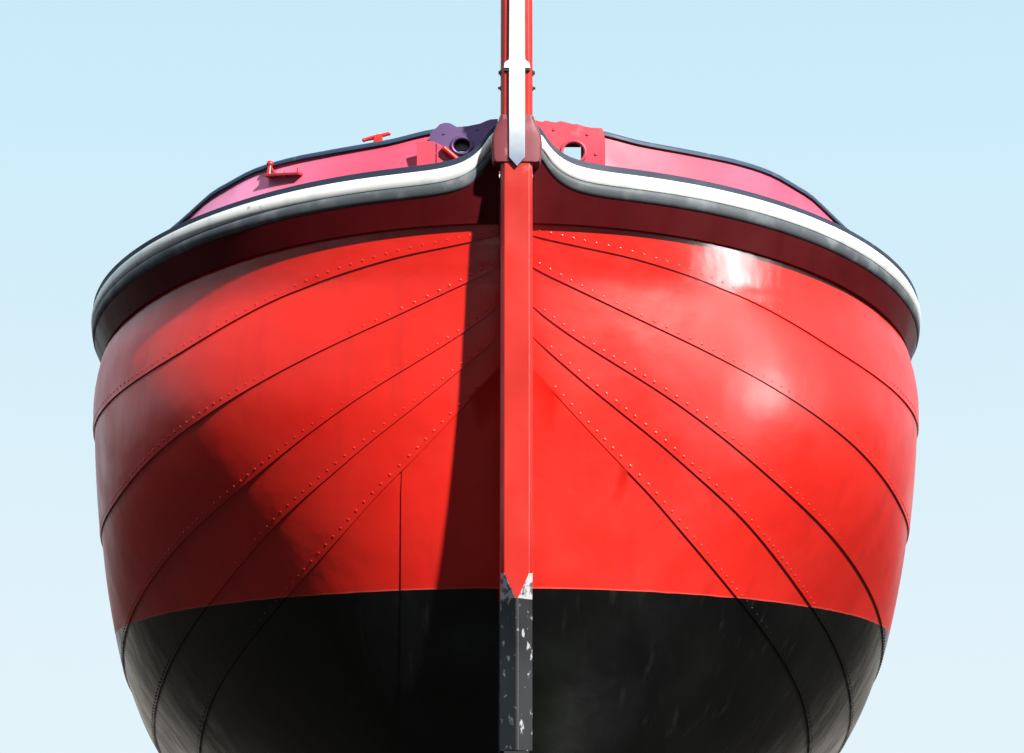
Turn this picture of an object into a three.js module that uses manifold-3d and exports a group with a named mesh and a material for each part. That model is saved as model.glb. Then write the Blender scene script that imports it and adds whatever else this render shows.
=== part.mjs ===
// A double-ended steel motor lifeboat, standing on its keel bar and bilge keels.
// Millimetres, +Z up. The bow points along -Y, port is +X, the floor is z = 0 and the
// origin lies on the floor under the middle of the boat's overall length.
import * as THREE from "three";
import { mergeVertices } from "three/addons/utils/BufferGeometryUtils.js";
import Module from "manifold-3d";

const wasm = await Module();
wasm.setup();

// Driving dimensions
const LENGTH = 12000; // stem head to the rudder's trailing edge
const BEAM = 4000; // over the fenders
const GAP = 0.4; // left between pieces that touch
const FLOOR_Z = 80; // underside of the plating, the height of the keel bar
const WIDEST_Z = 2090; // level of the greatest breadth
const SHEER_Z = 2373; // fender's top edge amidships
const WATERLINE_Z = 1100;
const TUMBLEHOME = 53; // how far the topsides lean in above the widest level
const SECTION_POWER = 4.5; // superellipse of the midship section
const FENDER_OUT = 65; // how far the fender stands out from the plating

// Bow and stern
const STEM_RAKE = 0.142; // the plating's run aft for each unit down
const BAR_RAKE = 0.02; // the same for the stem bar's face, which stands almost upright
const BAR_BACK = 70; // stem bar's back inside the plating's foremost line
const STEM_HEAD_Z = 3760;
const STRAP_TOP_Z = 3690;
const STRAP_THICK = 12;
const CASING_THICK = 6;
const BOW_RISE = 435; // sheer at the stem above the sheer amidships
const STERN_RISE = 300;
const SHEER_RUN = 4300; // length over which the sheer rises at each end
const SHEER_POWER = 1.52;
const RUDDER_CHORD = 520;
const STERNPOST_DEPTH = 150;
const HINGE_GAP = 60; // from the sternpost's back to the rudder's axis

const BOW_SHEER_Z = SHEER_Z + BOW_RISE;
const STERN_SHEER_Z = SHEER_Z + STERN_RISE;
const STEM_AHEAD = 203.244; // foremost point ahead of the plating at the sheer
const STEM_Y = -LENGTH / 2 + STEM_AHEAD; // plating's foremost line at the sheer
const BAR_Y = -LENGTH / 2 + STRAP_THICK + CASING_THICK; // stem bar's face at the strap's top
const RUDDER_AXIS_Y = LENGTH / 2 - RUDDER_CHORD;
const STERN_Y = RUDDER_AXIS_Y - HINGE_GAP - STERNPOST_DEPTH; // plating's aftmost line
const SHELL_HALF = BEAM / 2 - FENDER_OUT + TUMBLEHOME;

// How the waterlines close at each end: the length they take to reach the full
// breadth, their roundness, and how hollow they are (1 is not hollow).
const ENDS = {
  bow: [
    { z: 300, length: 4600, round: 1.65, hollow: 1 },
    { z: WATERLINE_Z, length: 3200, round: 1.92, hollow: 1 },
    { z: 1900, length: 2550, round: 2.4, hollow: 1 },
    { z: SHEER_Z, length: 2210, round: 2, hollow: 1 },
  ],
  stern: [
    { z: 300, length: 4900, round: 1.85, hollow: 3.4 },
    { z: WATERLINE_Z, length: 3900, round: 1.85, hollow: 1.35 },
    { z: SHEER_Z, length: 2900, round: 1.95, hollow: 1 },
  ],
};
const BOW_STEPS = 14;
const MID_STEPS = 5;
const STERN_STEPS = 13;
const GIRTH_STEPS = 12;
const TOP_BAND = 130; // height of the plating's top row, behind the fender

// Deck, bulwark and fenders
const DECK_DROP = 25; // deck's edge under the fender's top
const CAMBER = 70;
const DECK_THICK = 12;
const DECK_INSET = 105;
const FENDER_WHITE = 54;
const FENDER_BLACK = 58;
const CAPPING = { out: 22, high: 30 }; // bar on the fender's top, against the bulwark's foot
const SHELF = { drop: 105, out: 45 }; // sloping fairing under the fender
const BACKING = -6; // fenders are drawn into the plating and cut back to it
const CURL = 150; // how far the fender's ends sweep up at the stem
const CURL_RUN = 75;
const BULWARK_HEIGHT = 182;
const BULWARK_LEAN = 60; // at the full height, and less where the bulwark is lower
// The bulwark's height along the stations: it drops to a low rail amidships
const BULWARK_ROWS = [
  { station: 6, height: BULWARK_HEIGHT },
  { station: 7, height: 138 },
  { station: 8, height: 80 },
  { station: 9, height: 50 },
  { station: 25, height: 50 },
  { station: 28, height: 110 },
  { station: 32, height: 110 },
];
const BULWARK_THICK = 14;
const RAIL_WIDTH = 60;
const RAIL_HEIGHT = 26;

// Cabin and cockpit
const WELL = { half: 1100, front: -1500, back: 3300, floor: 1780 };
const CABIN = { half: 1180, front: -1600, back: 1250, top: 3740, wall: 40, roof: 36, overhang: 60 };
const DOOR = { half: 310, bottom: 1850, top: 3560, thick: 34, gap: 8 };
const BENCH = { depth: 360, top: 2220, thick: 40 };
const CASING = { half: 380, front: 2000, back: 3000, top: 2360, wall: 20 };
const HATCH = { half: 330, front: -3650, back: -2950, top: 2731, lid: 34, wall: 20 };

// Screw
const SCREW = { radius: 330, z: 620, y: STERN_Y - 260, hub: 70, blades: 3 };
const APERTURE = { half: 600, front: STERN_Y - 470, bottom: 230, top: 1020 };

const mix = (a, b, t) => a + (b - a) * t;
const clamp01 = (t) => Math.min(1, Math.max(0, t));

// Colours as seen in daylight
const paint = (color, roughness, metalness = 0) =>
  new THREE.MeshStandardMaterial({ color, roughness, metalness, side: THREE.FrontSide });
const RED = paint(0xc01c1a, 0.35);
const HULL_RED = paint(0xb81a18, 0.32);
const WHITE = paint(0xe8eee8, 0.4);
const BLACK = paint(0x17181a, 0.4);
const NAVY = paint(0x24394f, 0.45);
const DECK_GREY = paint(0x6f7774, 0.8);
const CREAM = paint(0xd9d6c8, 0.5);
const WOOD = paint(0x7a4a26, 0.5);
const GLASS = new THREE.MeshStandardMaterial({ color: 0x9fb4b8, roughness: 0.05, transparent: true, opacity: 0.35 });
const BRONZE = paint(0x9a7440, 0.35, 1);
const GALVANISED = paint(0x8d9294, 0.5, 1);

const boat = new THREE.Group();

function place(name, geometry, material) {
  const mesh = new THREE.Mesh(geometry, material);
  mesh.name = name;
  boat.add(mesh);
  return mesh;
}

// Solids: a geometry as a manifold and back, for cuts and joins
function solidOf(geometry) {
  const flat = geometry.index ? geometry.toNonIndexed() : geometry.clone();
  const bare = new THREE.BufferGeometry().setAttribute("position", flat.getAttribute("position"));
  const merged = mergeVertices(bare, 1e-3);
  return new wasm.Manifold(
    new wasm.Mesh({
      numProp: 3,
      vertProperties: merged.attributes.position.array,
      triVerts: new Uint32Array(merged.index.array),
    }),
  );
}

function geometryOf(solid) {
  const mesh = solid.getMesh();
  const geometry = new THREE.BufferGeometry()
    .setAttribute("position", new THREE.BufferAttribute(new Float32Array(mesh.vertProperties), 3))
    .setIndex(new THREE.BufferAttribute(new Uint32Array(mesh.triVerts), 1));
  geometry.computeVertexNormals();
  return geometry;
}

const cut = (geometry, ...tools) =>
  geometryOf(tools.reduce((left, tool) => left.subtract(solidOf(tool)), solidOf(geometry)));
const join = (...geometries) =>
  geometryOf(geometries.map(solidOf).reduce((all, next) => all.add(next)));

// A box between two corners
function box(low, high) {
  const size = high.map((v, i) => v - low[i]);
  const middle = high.map((v, i) => (v + low[i]) / 2);
  return new THREE.BoxGeometry(...size).translate(...middle);
}

// A round bar from one point to another
function bar(from, to, radius, sides = 12) {
  const a = new THREE.Vector3(...from);
  const b = new THREE.Vector3(...to);
  const along = b.clone().sub(a);
  const turn = new THREE.Quaternion().setFromUnitVectors(new THREE.Vector3(0, 1, 0), along.clone().normalize());
  return new THREE.CylinderGeometry(radius, radius, along.length(), sides)
    .applyQuaternion(turn)
    .translate(...a.add(b).multiplyScalar(0.5));
}

// A solid through rings of points, each ring going round the same way
function loft(rings) {
  const points = rings.flat().map((p) => new THREE.Vector3(...p));
  const n = rings[0].length;
  const faces = [];
  for (let i = 0; i + 1 < rings.length; i++)
    for (let j = 0; j < n; j++) {
      const a = i * n + j;
      const b = i * n + ((j + 1) % n);
      faces.push([a, b, b + n], [a, b + n, a + n]);
    }
  for (let j = 1; j + 1 < n; j++) {
    const last = (rings.length - 1) * n;
    faces.push([0, j + 1, j], [last, last + j, last + j + 1]);
  }
  return outward(points, faces);
}

// Faces without the ones that have no area, turned so that the volume is positive
function outward(points, faces) {
  const kept = faces.filter(([a, b, c]) => {
    const area = points[b].clone().sub(points[a]).cross(points[c].clone().sub(points[a]));
    return area.length() > 1e-3;
  });
  const volume = kept.reduce((sum, [a, b, c]) => sum + points[a].dot(points[b].clone().cross(points[c])), 0);
  if (volume < 0) kept.forEach((f) => f.reverse());
  const corners = kept.flat().flatMap((i) => points[i].toArray());
  return new THREE.BufferGeometry().setAttribute("position", new THREE.Float32BufferAttribute(corners, 3));
}

// Hull form
const breadth = (z) => {
  if (z >= WIDEST_Z) return SHELL_HALF - TUMBLEHOME * ((z - WIDEST_Z) / (SHEER_Z - WIDEST_Z)) ** 2;
  const h = clamp01((WIDEST_Z - z) / (WIDEST_Z - FLOOR_Z));
  return SHELL_HALF * (1 - h ** SECTION_POWER) ** (1 / SECTION_POWER);
};

function endShape(end, z) {
  const rows = ENDS[end];
  const above = rows.findIndex((row, n) => n > 0 && z < row.z);
  const i = above > 0 ? above - 1 : rows.length - 2;
  const t = clamp01((z - rows[i].z) / (rows[i + 1].z - rows[i].z));
  const at = (key) => mix(rows[i][key], rows[i + 1][key], t);
  return { length: at("length"), round: at("round"), hollow: at("hollow") };
}

const stemY = (z) => STEM_Y + STEM_RAKE * (BOW_SHEER_Z - z);

// The height of the sheer at a distance along the boat
function sheerZ(y) {
  const bow = clamp01(1 - (y - STEM_Y) / SHEER_RUN);
  const stern = clamp01(1 - (STERN_Y - y) / SHEER_RUN);
  return SHEER_Z + BOW_RISE * bow ** SHEER_POWER + STERN_RISE * stern ** SHEER_POWER;
}

const STATIONS = BOW_STEPS + MID_STEPS + STERN_STEPS;

// The plating's half-breadth and position at a station and a level
function shell(station, z) {
  const bow = endShape("bow", z);
  const stern = endShape("stern", z);
  const level = Math.min(z, SHEER_Z);
  const half = z > SHEER_Z ? breadth(SHEER_Z) : breadth(level);
  const bowEnd = stemY(z) + bow.length;
  const sternStart = STERN_Y - stern.length;
  if (station <= BOW_STEPS) {
    const turn = (station / BOW_STEPS) * (Math.PI / 2);
    return {
      x: half * Math.sin(turn) ** (2 / bow.round),
      y: stemY(z) + bow.length * (1 - Math.cos(turn) ** (2 / bow.round)),
    };
  }
  if (station >= BOW_STEPS + MID_STEPS) {
    const turn = ((STATIONS - station) / STERN_STEPS) * (Math.PI / 2);
    return {
      x: half * Math.sin(turn) ** ((2 * stern.hollow) / stern.round),
      y: STERN_Y - stern.length * (1 - Math.cos(turn) ** (2 / stern.round)),
    };
  }
  return { x: half, y: mix(bowEnd, sternStart, (station - BOW_STEPS) / MID_STEPS) };
}

// The sheer's point at a station: its height depends on where it lies
function sheerPoint(station) {
  let z = SHEER_Z;
  let p = shell(station, z);
  for (let pass = 0; pass < 6; pass++) {
    z = sheerZ(p.y);
    p = shell(station, z);
  }
  return { ...p, z };
}

// Levels of one station's section, from the keel to the sheer
function sectionLevels(top) {
  const levels = [];
  for (let j = 0; j <= GIRTH_STEPS; j++) {
    const turn = (j / GIRTH_STEPS) * (Math.PI / 2);
    const h = Math.cos(turn) ** (2 / SECTION_POWER);
    levels.push(WIDEST_Z - (WIDEST_Z - FLOOR_Z) * h);
  }
  return [...levels, mix(WIDEST_Z, top - TOP_BAND, 0.5), top - TOP_BAND, top];
}

function hullForm() {
  const points = [];
  const faces = [];
  const girth = GIRTH_STEPS + 4;
  for (const side of [1, -1])
    for (let i = 0; i <= STATIONS; i++) {
      const edge = sheerPoint(i);
      for (const z of sectionLevels(edge.z - DECK_DROP)) {
        const p = shell(i, z);
        points.push(new THREE.Vector3(side * p.x, p.y, z));
      }
    }
  const at = (side, i, j) => (side * (STATIONS + 1) + i) * girth + j;
  for (let i = 0; i < STATIONS; i++)
    for (let j = 0; j + 1 < girth; j++)
      for (const side of [0, 1]) {
        const [a, b, c, d] = [at(side, i, j), at(side, i + 1, j), at(side, i + 1, j + 1), at(side, i, j + 1)];
        faces.push(...(side ? [[a, c, b], [a, d, c]] : [[a, b, c], [a, c, d]]));
      }
  const crown = [];
  for (let i = 0; i <= STATIONS; i++) {
    const p = points[at(0, i, girth - 1)];
    crown.push(points.length);
    points.push(new THREE.Vector3(0, p.y, p.z + CAMBER * (p.x / SHELL_HALF) ** 2));
  }
  for (let i = 0; i < STATIONS; i++) {
    const [p0, p1] = [at(0, i, girth - 1), at(0, i + 1, girth - 1)];
    const [s0, s1] = [at(1, i, girth - 1), at(1, i + 1, girth - 1)];
    faces.push([p0, p1, crown[i + 1]], [p0, crown[i + 1], crown[i]]);
    faces.push([crown[i], crown[i + 1], s1], [crown[i], s1, s0]);
  }
  return outward(points, faces);
}

// A point on the sheer with the outward direction in plan
function edgePoint(station) {
  const before = sheerPoint(Math.max(0, station - 0.2));
  const after = sheerPoint(Math.min(STATIONS, station + 0.2));
  const run = Math.hypot(after.x - before.x, after.y - before.y);
  return { ...sheerPoint(station), station, nx: (after.y - before.y) / run, ny: -(after.x - before.x) / run };
}

// Points along one side's sheer, between a half-breadth near the stem and one near the stern
function edgeLine(startX, endX) {
  const stationAt = (x, inside, outside) => {
    let [lo, hi] = [outside, inside];
    for (let pass = 0; pass < 30; pass++) {
      const mid = (lo + hi) / 2;
      if (sheerPoint(mid).x < x) lo = mid;
      else hi = mid;
    }
    return hi;
  };
  const first = stationAt(startX, BOW_STEPS, 0);
  const last = stationAt(endX, STATIONS - STERN_STEPS, STATIONS);
  const line = [first];
  for (let i = Math.ceil(first + 0.1); i < last - 0.1; i++) line.push(i);
  return [...line, last].map(edgePoint);
}

const curl = (x, y) => (y < 0 ? CURL * Math.exp(-Math.max(0, x - STEM_CASING.half) / CURL_RUN) : 0);

// Stem casing, the shield that covers the fenders' ends
const STEM_CASING = { half: 98, top: 3040, bottom: 2856, thick: CASING_THICK, clear: 5 };

// A strip along the sheer: corners gives, for a station, its corners as [out from the
// plating, up from the sheer]
function strip(side, corners, line) {
  const rings = line.map((p) => {
    const lift = curl(p.x, p.y);
    const q = shell(p.station, p.z + lift);
    const ring = typeof corners === "function" ? corners(p.station) : corners;
    return ring.map(([out, up]) => [side * (q.x + p.nx * out), q.y + p.ny * out, p.z + up + lift]);
  });
  return loft(rings);
}

const SIDES = [
  { name: "port", sign: 1 },
  { name: "starboard", sign: -1 },
];

// The stem: an almost upright bar, deep where it stands ahead of the plating, with a flat
// face down to the chamfer's stop and a narrow one below it. Above the sheer it is a post.
const STEM = { face: 102, back: 130, shoulder: 22, post: 130, foot: 420, narrow: 60 };
const CHAMFER_STOP = { top: 1125, tip: 1026 };
const KNEE = { bottom: 2830, top: 3100 }; // where the bar's back comes forward to the post
const barFront = (z) => BAR_Y + BAR_RAKE * (STRAP_TOP_Z - z);
const barBack = (z) => (z > KNEE.bottom ? barFront(z) + STEM.post : stemY(z) + BAR_BACK);
function stemBar() {
  const ring = (z, front, back, face, wide) => [
    [-face / 2, front, z],
    [face / 2, front, z],
    [wide / 2, front + STEM.shoulder, z],
    [wide / 2, back, z],
    [-wide / 2, back, z],
    [-wide / 2, front + STEM.shoulder, z],
  ];
  const levels = [STEM.foot, CHAMFER_STOP.tip, CHAMFER_STOP.top, 2000, KNEE.bottom, KNEE.top, STEM_HEAD_Z - 60];
  const rings = levels.map((z) => {
    const face = z <= CHAMFER_STOP.tip ? STEM.narrow : STEM.face;
    return ring(z, barFront(z), barBack(z), face, STEM.back);
  });
  const headY = barFront(STEM_HEAD_Z);
  rings.push(ring(STEM_HEAD_Z, headY + 14, headY + STEM.post - 14, STEM.face - 30, STEM.back - 30));
  return loft(rings);
}

// The keel bar with its forefoot, one bar bent up to meet the stem
const KEEL = { half: 50, rise: STEM.foot - GAP };
function keelBar() {
  const shape = new THREE.Shape();
  const front = barFront(STEM.foot);
  const back = barBack(STEM.foot);
  shape.moveTo(front, KEEL.rise);
  shape.absarc(front + KEEL.rise, KEEL.rise, KEEL.rise, Math.PI, Math.PI * 1.5, false);
  shape.lineTo(RUDDER_AXIS_Y + 40, 0);
  shape.lineTo(RUDDER_AXIS_Y + 40, FLOOR_Z - GAP);
  shape.lineTo(back + KEEL.rise - FLOOR_Z, FLOOR_Z - GAP);
  shape.absarc(back + KEEL.rise - FLOOR_Z, KEEL.rise, KEEL.rise - FLOOR_Z + GAP, Math.PI * 1.5, Math.PI, true);
  shape.closePath();
  return upright(shape, KEEL.half, 10);
}

// A shape drawn in (y, z), given a thickness across the boat
function upright(shape, half, curveSegments = 12, centre = 0) {
  const geometry = new THREE.ExtrudeGeometry(shape, { depth: 2 * half, bevelEnabled: false, curveSegments });
  const turn = new THREE.Matrix4().makeBasis(
    new THREE.Vector3(0, 1, 0),
    new THREE.Vector3(0, 0, 1),
    new THREE.Vector3(1, 0, 0),
  );
  return geometry.applyMatrix4(turn).translate(centre - half, 0, 0);
}

// Room for the stem and forefoot, cut into the plating
function stemRebate() {
  const room = 2 * GAP;
  const shape = new THREE.Shape();
  shape.moveTo(stemY(STEM_HEAD_Z) - 400, STEM_HEAD_Z);
  shape.lineTo(stemY(STEM.foot) - 400, 0);
  const back = barBack(STEM.foot) + room;
  shape.lineTo(back + KEEL.rise - FLOOR_Z, 0);
  shape.lineTo(back + KEEL.rise - FLOOR_Z, FLOOR_Z);
  shape.absarc(back + KEEL.rise - FLOOR_Z, KEEL.rise, KEEL.rise - FLOOR_Z, Math.PI * 1.5, Math.PI, true);
  shape.lineTo(stemY(STEM_HEAD_Z) + BAR_BACK + room, STEM_HEAD_Z);
  shape.closePath();
  return upright(shape, STEM.back / 2 + room, 10);
}

const ABOVE = 4000; // higher than anything that a cut goes through
const wellBox = () => box([-WELL.half, WELL.front, WELL.floor], [WELL.half, WELL.back, ABOVE]);

function buildHull() {
  const aperture = box(
    [-APERTURE.half, APERTURE.front, APERTURE.bottom],
    [APERTURE.half, RUDDER_AXIS_Y, APERTURE.top],
  );
  const room = STERNPOST.half + 1;
  const post = box([-room, STERN_Y - STERNPOST.rebate, 0], [room, RUDDER_AXIS_Y, ABOVE]);
  const tube = bar([0, SCREW.y, SCREW.z], [0, APERTURE.front - SHAFT.inside, SCREW.z], SHAFT.radius + 1, 16);
  place("hull", cut(hullForm(), stemRebate(), wellBox(), aperture, post, tube), HULL_RED);
}

const STERNPOST = { half: 45, top: STERN_SHEER_Z + 230, rebate: 40 };
const SHAFT = { radius: 45, inside: 300 };
const GUDGEON = { levels: [420, 1350, 2400], tall: 90, radius: 56, bore: 27, pin: 25, clear: 8 };

function buildBackbone() {
  place("stem", stemBar(), RED);
  place("keel", keelBar(), BLACK);
  const post = box(
    [-STERNPOST.half, STERN_Y - STERNPOST.rebate + 1, FLOOR_Z],
    [STERNPOST.half, STERN_Y + STERNPOST_DEPTH, STERNPOST.top],
  );
  const eyes = GUDGEON.levels.flatMap((z) => [
    bar([0, RUDDER_AXIS_Y, z - GUDGEON.tall / 2], [0, RUDDER_AXIS_Y, z + GUDGEON.tall / 2], GUDGEON.radius, 20),
    box(
      [-GUDGEON.radius, STERN_Y + STERNPOST_DEPTH - 10, z - GUDGEON.tall / 2],
      [GUDGEON.radius, RUDDER_AXIS_Y, z + GUDGEON.tall / 2],
    ),
  ]);
  const pin = bar([0, RUDDER_AXIS_Y, 0], [0, RUDDER_AXIS_Y, ABOVE], GUDGEON.bore, 16);
  place("sternpost", cut(join(post, ...eyes), pin), RED);
  for (const { name, sign } of SIDES) {
    const x = sign * BILGE_KEEL.x;
    const shape = new THREE.Shape();
    shape.moveTo(BILGE_KEEL.front, 0);
    shape.lineTo(BILGE_KEEL.back, 0);
    shape.lineTo(BILGE_KEEL.back + BILGE_KEEL.slope, BILGE_KEEL.top);
    shape.lineTo(BILGE_KEEL.front - BILGE_KEEL.slope, BILGE_KEEL.top);
    shape.closePath();
    const plate = upright(shape, BILGE_KEEL.thick / 2, 1, x);
    place("bilge_keel_" + name, cut(plate, hullForm().translate(0, 0, -GAP)), BLACK);
  }
}
const BILGE_KEEL = { x: 1230, front: -1700, back: 1700, thick: 24, top: 240, slope: 300 };

function buildStemHead() {
  const { half, top, bottom, thick, clear } = STEM_CASING;
  const front = barFront;
  const cheek = (z, wide, forward) => [
    [-wide, stemY(z) - clear, z],
    [-wide, front(z) - forward + 12, z],
    [-STEM.face / 2, front(z) - forward, z],
    [STEM.face / 2, front(z) - forward, z],
    [wide, front(z) - forward + 12, z],
    [wide, stemY(z) - clear, z],
  ];
  const shield = loft([
    cheek(bottom, half, thick),
    cheek(bottom + 60, half, thick),
    cheek(top - 60, half - 12, thick),
    cheek(top, STEM.back / 2 + 8, thick),
  ]);
  place("stem_casing", cut(shield, stemRoom()), RED);
  const flat = (z, w, under = GAP) => [
    [-w, front(z) - under, z],
    [-w, front(z) - STRAP_THICK - thick, z],
    [w, front(z) - STRAP_THICK - thick, z],
    [w, front(z) - under, z],
  ];
  const over = thick + GAP;
  const strap = loft([
    flat(STRAP.tip, 2, over),
    flat(STRAP.shoulder, STRAP.half, over),
    flat(top + 1, STRAP.half, over),
    flat(top + 2, STRAP.half),
    flat(STRAP.collar, STRAP.half),
    flat(STRAP.collar + 1, STRAP.collarHalf),
    flat(STRAP.collar + 40, STRAP.collarHalf),
    flat(STRAP.collar + 60, STRAP.half),
    flat(STRAP_TOP_Z, STRAP.half - 4, GAP),
  ]);
  place("stem_strap", strap, WHITE);
}
const STRAP = { tip: 2830, shoulder: 2865, collar: 3240, half: 32, collarHalf: 50 };

// The stem's outline grown a little, to clear what wraps it
function stemRoom() {
  const w = STEM.back / 2 + 2 * GAP;
  const ring = (z) => {
    const y = barFront(z);
    const f = STEM.face / 2 + 2 * GAP;
    return [
      [-f, y - 2 * GAP, z],
      [f, y - 2 * GAP, z],
      [w, y + STEM.shoulder, z],
      [w, y + 400, z],
      [-w, y + 400, z],
      [-w, y + STEM.shoulder, z],
    ];
  };
  return loft([ring(1500), ring(STEM_HEAD_Z + 100)]);
}

// A strip cut back to the plating, with the gap that touching pieces keep
function fitted(side, geometry) {
  const gap = 1.5 * GAP;
  const moved = [[side * gap, 0], [0, -gap], [0, gap]].map(([x, y]) => hullForm().translate(x, y, 0));
  return cut(geometry, ...moved);
}

function buildFenders() {
  const line = edgeLine(STEM_CASING.half + 4, STERNPOST.half + 4);
  for (const { name, sign } of SIDES) {
    const white = strip(sign, [
      [BACKING, -FENDER_WHITE],
      [FENDER_OUT - 8, -FENDER_WHITE],
      [FENDER_OUT, -FENDER_WHITE + 10],
      [FENDER_OUT, -14],
      [FENDER_OUT - 14, 0],
      [CAPPING.out, 0],
      [CAPPING.out, CAPPING.high],
      [BACKING, CAPPING.high],
    ], line);
    place("fender_upper_" + name, fitted(sign, white), WHITE);
    const low = -FENDER_WHITE - FENDER_BLACK;
    const black = strip(sign, [
      [BACKING, low],
      [FENDER_OUT - 34, low],
      [FENDER_OUT - 10, low + 16],
      [FENDER_OUT - 6, -FENDER_WHITE - 8],
      [FENDER_OUT - 12, -FENDER_WHITE - GAP],
      [BACKING, -FENDER_WHITE - GAP],
    ], line);
    place("fender_lower_" + name, fitted(sign, black), BLACK);
    const shelf = strip(sign, [
      [BACKING, low - SHELF.drop],
      [4, low - SHELF.drop],
      [SHELF.out, low - GAP],
      [BACKING, low - GAP],
    ], line);
    place("fender_shelf_" + name, fitted(sign, shelf), HULL_RED);
  }
}

// The bulwark's top and how far its plate leans in, at a station
function bulwarkAt(station) {
  const above = BULWARK_ROWS.findIndex((row) => station <= row.station);
  const after = BULWARK_ROWS[Math.max(1, above)];
  const before = BULWARK_ROWS[Math.max(1, above) - 1];
  const t = clamp01((station - before.station) / (after.station - before.station));
  const top = mix(before.height, after.height, t);
  return { top, lean: (BULWARK_LEAN * top) / BULWARK_HEIGHT };
}

const BULWARK_IN = -30; // foot of the bulwark's plate, in from the plating
const BOARD_CLEAR = 16; // from the hawse boards' outer edges to the bulwarks
function buildBulwark() {
  const line = edgeLine(HAWSE.outer + BOARD_CLEAR, 90);
  for (const { name, sign } of SIDES) {
    const foot = -DECK_DROP + 2 + GAP;
    const plate = (station) => {
      const { top, lean } = bulwarkAt(station);
      return [
        [BULWARK_IN, foot],
        [BULWARK_IN - lean, top],
        [BULWARK_IN - lean - BULWARK_THICK, top],
        [BULWARK_IN - BULWARK_THICK, foot],
      ];
    };
    place("bulwark_" + name, strip(sign, plate, line), RED);
    const cap = (station) => {
      const { top, lean } = bulwarkAt(station);
      const mid = BULWARK_IN - lean - BULWARK_THICK / 2;
      return [
        [mid + RAIL_WIDTH / 2, top + GAP],
        [mid + RAIL_WIDTH / 2, top + RAIL_HEIGHT * 0.6],
        [mid + RAIL_WIDTH / 4, top + RAIL_HEIGHT],
        [mid - RAIL_WIDTH / 4, top + RAIL_HEIGHT],
        [mid - RAIL_WIDTH / 2, top + RAIL_HEIGHT * 0.6],
        [mid - RAIL_WIDTH / 2, top + GAP],
      ];
    };
    place("rail_" + name, strip(sign, cap, line), NAVY);
  }
}
const HAWSE = { outer: 362, hole: 50, holeX: 232, holeZ: 2924, top: 3045, bottom: 2780, thick: 40, back: 105 };

function buildHawseBoards() {
  for (const { name, sign } of SIDES) {
    const shape = new THREE.Shape();
    const inner = STEM.back / 2 + 8;
    shape.moveTo(inner, HAWSE.bottom);
    shape.lineTo(HAWSE.outer - 4, HAWSE.bottom);
    shape.lineTo(HAWSE.outer - 4, HAWSE.top - 40);
    shape.lineTo(HAWSE.outer - 28, HAWSE.top - 12);
    shape.lineTo(inner + 60, HAWSE.top);
    shape.lineTo(inner, HAWSE.top + 12);
    shape.closePath();
    const hole = new THREE.Path();
    hole.absarc(HAWSE.holeX, HAWSE.holeZ, HAWSE.hole, 0, Math.PI * 2, true);
    shape.holes.push(hole);
    const plate = new THREE.ExtrudeGeometry(shape, { depth: HAWSE.thick, bevelEnabled: false, curveSegments: 20 });
    plate.applyMatrix4(
      new THREE.Matrix4().makeBasis(
        new THREE.Vector3(1, 0, 0),
        new THREE.Vector3(0, 0, 1),
        new THREE.Vector3(0, -1, 0),
      ),
    );
    plate.translate(0, STEM_Y + HAWSE.back, 0);
    const side = sign > 0 ? plate : geometryOf(solidOf(plate).mirror([1, 0, 0]));
    place("hawse_board_" + name, cut(side, hullForm().translate(0, 0, GAP)), RED);
  }
}

// The deck plates inside the bulwarks, round the well: a layer of even thickness that
// follows the plating's top, clipped in plan to a line inside the bulwark
function buildDeck() {
  const line = edgeLine(200, 240).map((p) => [p.x - p.nx * DECK_INSET, p.y - p.ny * DECK_INSET]);
  const plan = line.filter(([x]) => x > 10);
  const outline = [...plan, ...plan.map(([x, y]) => [-x, y]).reverse()];
  const shape = new THREE.Shape(outline.map(([x, y]) => new THREE.Vector2(x, y)));
  const area = new THREE.ExtrudeGeometry(shape, { depth: 1200, bevelEnabled: false }).translate(0, 0, 2200);
  const layer = solidOf(hullForm().translate(0, 0, DECK_THICK + GAP))
    .subtract(solidOf(hullForm().translate(0, 0, GAP)))
    .intersect(solidOf(area));
  const [out, up] = [3000, 4000];
  const plates = {
    deck_fore: box([-out, -LENGTH, 0], [out, WELL.front - GAP, up]),
    deck_aft: box([-out, WELL.back + GAP, 0], [out, LENGTH, up]),
    deck_side_port: box([WELL.half, WELL.front, 0], [out, WELL.back, up]),
    deck_side_starboard: box([-out, WELL.front, 0], [-WELL.half, WELL.back, up]),
  };
  for (const [name, zone] of Object.entries(plates)) place(name, geometryOf(layer.intersect(solidOf(zone))), DECK_GREY);
}

const deckZ = (y) => {
  // crown of the deck at a place along the boat
  let best = sheerPoint(0);
  for (let i = 0; i <= STATIONS; i += 0.25) {
    const p = sheerPoint(i);
    if (Math.abs(p.y - y) < Math.abs(best.y - y)) best = p;
  }
  return best.z - DECK_DROP + DECK_THICK + CAMBER * (best.x / SHELL_HALF) ** 2;
};

function wallWith(outline, windows, depth) {
  const shape = new THREE.Shape(outline.map(([a, b]) => new THREE.Vector2(a, b)));
  for (const w of windows) {
    const path = new THREE.Path();
    const r = Math.min(w.corner ?? 40, w.half, w.tall / 2);
    const [l, rgt, b, t] = [w.centre - w.half, w.centre + w.half, w.bottom, w.bottom + w.tall];
    path.moveTo(l + r, b);
    path.absarc(rgt - r, b + r, r, -Math.PI / 2, 0, false);
    path.absarc(rgt - r, t - r, r, 0, Math.PI / 2, false);
    path.absarc(l + r, t - r, r, Math.PI / 2, Math.PI, false);
    path.absarc(l + r, b + r, r, Math.PI, Math.PI * 1.5, false);
    path.closePath();
    shape.holes.push(path);
  }
  return new THREE.ExtrudeGeometry(shape, { depth, bevelEnabled: false, curveSegments: 4 });
}

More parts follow.
